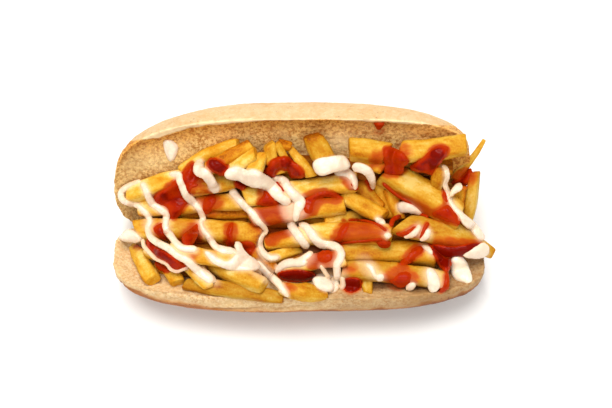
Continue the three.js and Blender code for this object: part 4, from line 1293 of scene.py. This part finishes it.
def fries_material():
    p = Paint("fries")
    edge, tip, seed, shade, stain, creamy, gap_shade = (p.attr(k) for k in ("edge", "tip", "seed", "shade", "stain", "creamy", "sunk"))
    sd = p.t.nodes.new("ShaderNodeCombineXYZ")
    for i in range(3):
        p.link(seed, sd.inputs[i])
    own = p.moved(p.attr("lc", True), sd.outputs[0], 90.0)
    along = p.stretch(own, 0.45, 1, 1)
    blotch, mottled, fine, speck = p.noise(7, 2, at=along), p.noise(2.4, 3, 0.6, at=along), p.noise(0.85, 3, 0.65, at=own), p.noise(0.4, 2, 0.6, at=own)
    s = p.maths("MULTIPLY_ADD", shade, 0.42)
    s.node.inputs[2].default_value = 0.60
    s = p.maths("ADD", s, p.maths("MULTIPLY", p.maths("SUBTRACT", blotch, 0.5), 1.35))
    s = p.maths("ADD", s, p.maths("MULTIPLY", p.maths("SUBTRACT", mottled, 0.5), 0.95))
    s = p.maths("ADD", s, p.maths("MULTIPLY", p.maths("SUBTRACT", fine, 0.5), 0.60))
    s = p.maths("SUBTRACT", s, p.maths("MULTIPLY", edge, p.span(mottled, 0.3, 0.7, 0.0, 0.26)))
    s = p.maths("SUBTRACT", s, p.maths("MULTIPLY", tip, p.span(blotch, 0.3, 0.7, 0.08, 0.26)), clamp=True)
    col = p.ramp(s, [(0.0, lin(146, 72, 2)), (0.20, lin(188, 108, 6)), (0.45, lin(208, 145, 29)), (0.70, lin(221, 172, 60)), (0.95, lin(234, 199, 110))])
    col = p.mix(p.attr("dim"), col, lin(176, 160, 118), "MULTIPLY")
    red = p.maths("MULTIPLY", stain, p.maths("MULTIPLY", p.span(mottled, 0.25, 0.6, 0.60, 1.0), p.span(blotch, 0.36, 0.62, 1.0, 0.82)), clamp=True)
    film = p.ramp(red, [(0.0, lin(202, 126, 26)), (0.35, lin(178, 76, 5)), (0.7, lin(160, 50, 1)), (1.0, lin(148, 34, 0))])
    col = p.mix(p.span(red, 0.04, 0.34), col, film)
    # painted shade deep in the gaps between the fries
    col = p.mix(p.maths("MULTIPLY", gap_shade, p.span(blotch, 0.3, 0.7, 0.55, 0.88)), col, lin(130, 60, 9))
    col = p.mix(creamy, col, p.mix(p.maths("MULTIPLY", red, 0.75), lin(244, 224, 186), lin(226, 150, 118)))
    h = p.maths("ADD", p.maths("ADD", fine, p.maths("MULTIPLY", speck, 0.45)), p.maths("MULTIPLY", mottled, 0.8))
    n = p.bump(h, 0.30, 0.7)
    return p.set(color=col, rough=p.maths("SUBTRACT", p.span(fine, 0.3, 0.7, 0.38, 0.56), p.maths("MULTIPLY", red, 0.16)),
                 normal=n, sss=0.12, scale=0.0014, spread=(1.0, 0.62, 0.14), spec=0.07)


def core_material():
    p = Paint("core")
    a, b = p.noise(6, 3), p.noise(1.6, 3, 0.6)
    # its dark red-brown is painted shade for what shows through the gaps between the fries
    col = p.ramp(a, [(0.3, lin(74, 14, 3)), (0.5, lin(104, 38, 7)), (0.7, lin(136, 70, 14))])
    return p.set(color=p.mix(p.span(b, 0.4, 0.7, 0, 0.6), col, lin(80, 26, 6)), rough=0.5, normal=p.bump(b, 0.5), spec=0.25)


def ketchup_material():
    p = Paint("ketchup")
    thick = p.attr("thick")
    pulp, fine, slow = p.noise(1.3, 3, 0.6), p.noise(0.45, 2, 0.6), p.noise(4.0, 2)
    deep = p.span(p.maths("ADD", thick, p.maths("MULTIPLY", p.maths("SUBTRACT", slow, 0.5), 1.1)), 0.20, 1.35)
    col = p.ramp(deep, [(0.0, lin(168, 46, 1)), (0.30, lin(166, 40, 1)), (0.75, lin(152, 26, 0)), (1.0, lin(112, 10, 0))])
    col = p.mix(p.span(pulp, 0.40, 0.78, 0.0, 0.35), col, lin(126, 12, 0))
    n = p.bump(p.maths("ADD", pulp, p.maths("MULTIPLY", fine, 0.3)), 0.16, 0.7)
    return p.set(color=col, rough=p.span(pulp, 0.3, 0.7, 0.15, 0.26), normal=n, spec=0.06)


def mayo_material():
    p = Paint("mayonnaise")
    pink, thick = p.attr("pink"), p.attr("thick")
    soft, fine = p.noise(2.2, 2), p.noise(0.5, 2, 0.6)
    body = p.mix(p.span(soft, 0.35, 0.7), lin(234, 215, 191), lin(225, 202, 177))
    # lighter where thick: partly thick mayonnaise's own whiteness, partly painted light on dollop faces turned from the
    # lamp
    body = p.mix(p.span(thick, 1.15, 1.7), body, p.mix(p.span(soft, 0.35, 0.7), lin(247, 234, 210), lin(238, 220, 194)))
    thin = p.span(thick, 0.75, 0.35)
    body = p.mix(p.maths("MULTIPLY", thin, 0.5), body, lin(222, 180, 126))
    tint = p.maths("MULTIPLY", pink, p.maths("ADD", p.span(soft, 0.3, 0.75, 0.10, 0.60), p.maths("MULTIPLY", thin, 0.35)), clamp=True)
    body = p.mix(tint, body, lin(222, 168, 140))
    n = p.bump(p.maths("ADD", soft, p.maths("MULTIPLY", fine, 0.12)), 0.10, 0.5)
    return p.set(color=body, rough=p.span(soft, 0.3, 0.7, 0.20, 0.30), normal=n, sss=0.35, scale=0.0015,
                 spread=(1.0, 0.72, 0.52), spec=0.45)


for ob, m, s in ((roll, bread_material(), "bread"), (fries, fries_material(), "fries"), (core, core_material(), "fries"),
                 (ketchup, ketchup_material(), "ketchup"), (mayo, mayo_material(), "mayonnaise")):
    ob.data.materials.clear()
    ob.data.materials.append(m)
    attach(ob, "root")
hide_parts("bun")
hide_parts("fries_heap")
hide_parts("mayonnaise_dollop_back", "mayonnaise_dollop_right")
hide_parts("ketchup_dollop_back_left", "ketchup_dollop_back_right")


# ------------------------------------------------------------------ floor and light
floor = new_mesh("floor", np.array([[-4000, -4000, 1.0], [4000, -4000, 1.0], [4000, 4000, 1.0], [-4000, 4000, 1.0]]),
                 np.array([[0, 1, 2, 3]]), smooth=False)
fm = bpy.data.materials.new("floor")
fm.use_nodes = True
fb = next(n for n in fm.node_tree.nodes if n.type == "BSDF_PRINCIPLED")
fb.inputs["Base Color"].default_value = (0.90, 0.90, 0.89, 1)
fb.inputs["Roughness"].default_value = 0.7
fb.inputs["Specular IOR Level"].default_value = 0.15
floor.data.materials.append(fm)

world = bpy.data.worlds.new("studio")
bpy.context.scene.world = world
world.use_nodes = True
bg = next(n for n in world.node_tree.nodes if n.type == "BACKGROUND")
bg.inputs["Color"].default_value = (1.0, 0.985, 0.96, 1)
bg.inputs["Strength"].default_value = 0.60


def softbox(name, at, size, watts, colour=(1, 1, 1)):
    d = bpy.data.lights.new(name, "AREA")
    d.shape = "RECTANGLE"
    d.size, d.size_y = size
    d.energy = watts
    d.color = colour
    o = bpy.data.objects.new(name, d)
    bpy.context.scene.collection.objects.link(o)
    o.location = at
    o.rotation_mode = "QUATERNION"
    o.rotation_quaternion = (Vector((0, 0, 0.03)) - Vector(at)).to_track_quat("-Z", "Y")


softbox("key", (-0.28, 0.30, 2.36), (1.3, 1.2), 50.0, (1.0, 0.985, 0.96))
softbox("fill", (0.1, -1.5, 1.7), (1.5, 1.3), 13.0)
softbox("spark", (-0.10, 0.70, 1.35), (0.14, 0.14), 3.0)

bpy.context.scene.view_settings.view_transform = "Standard"
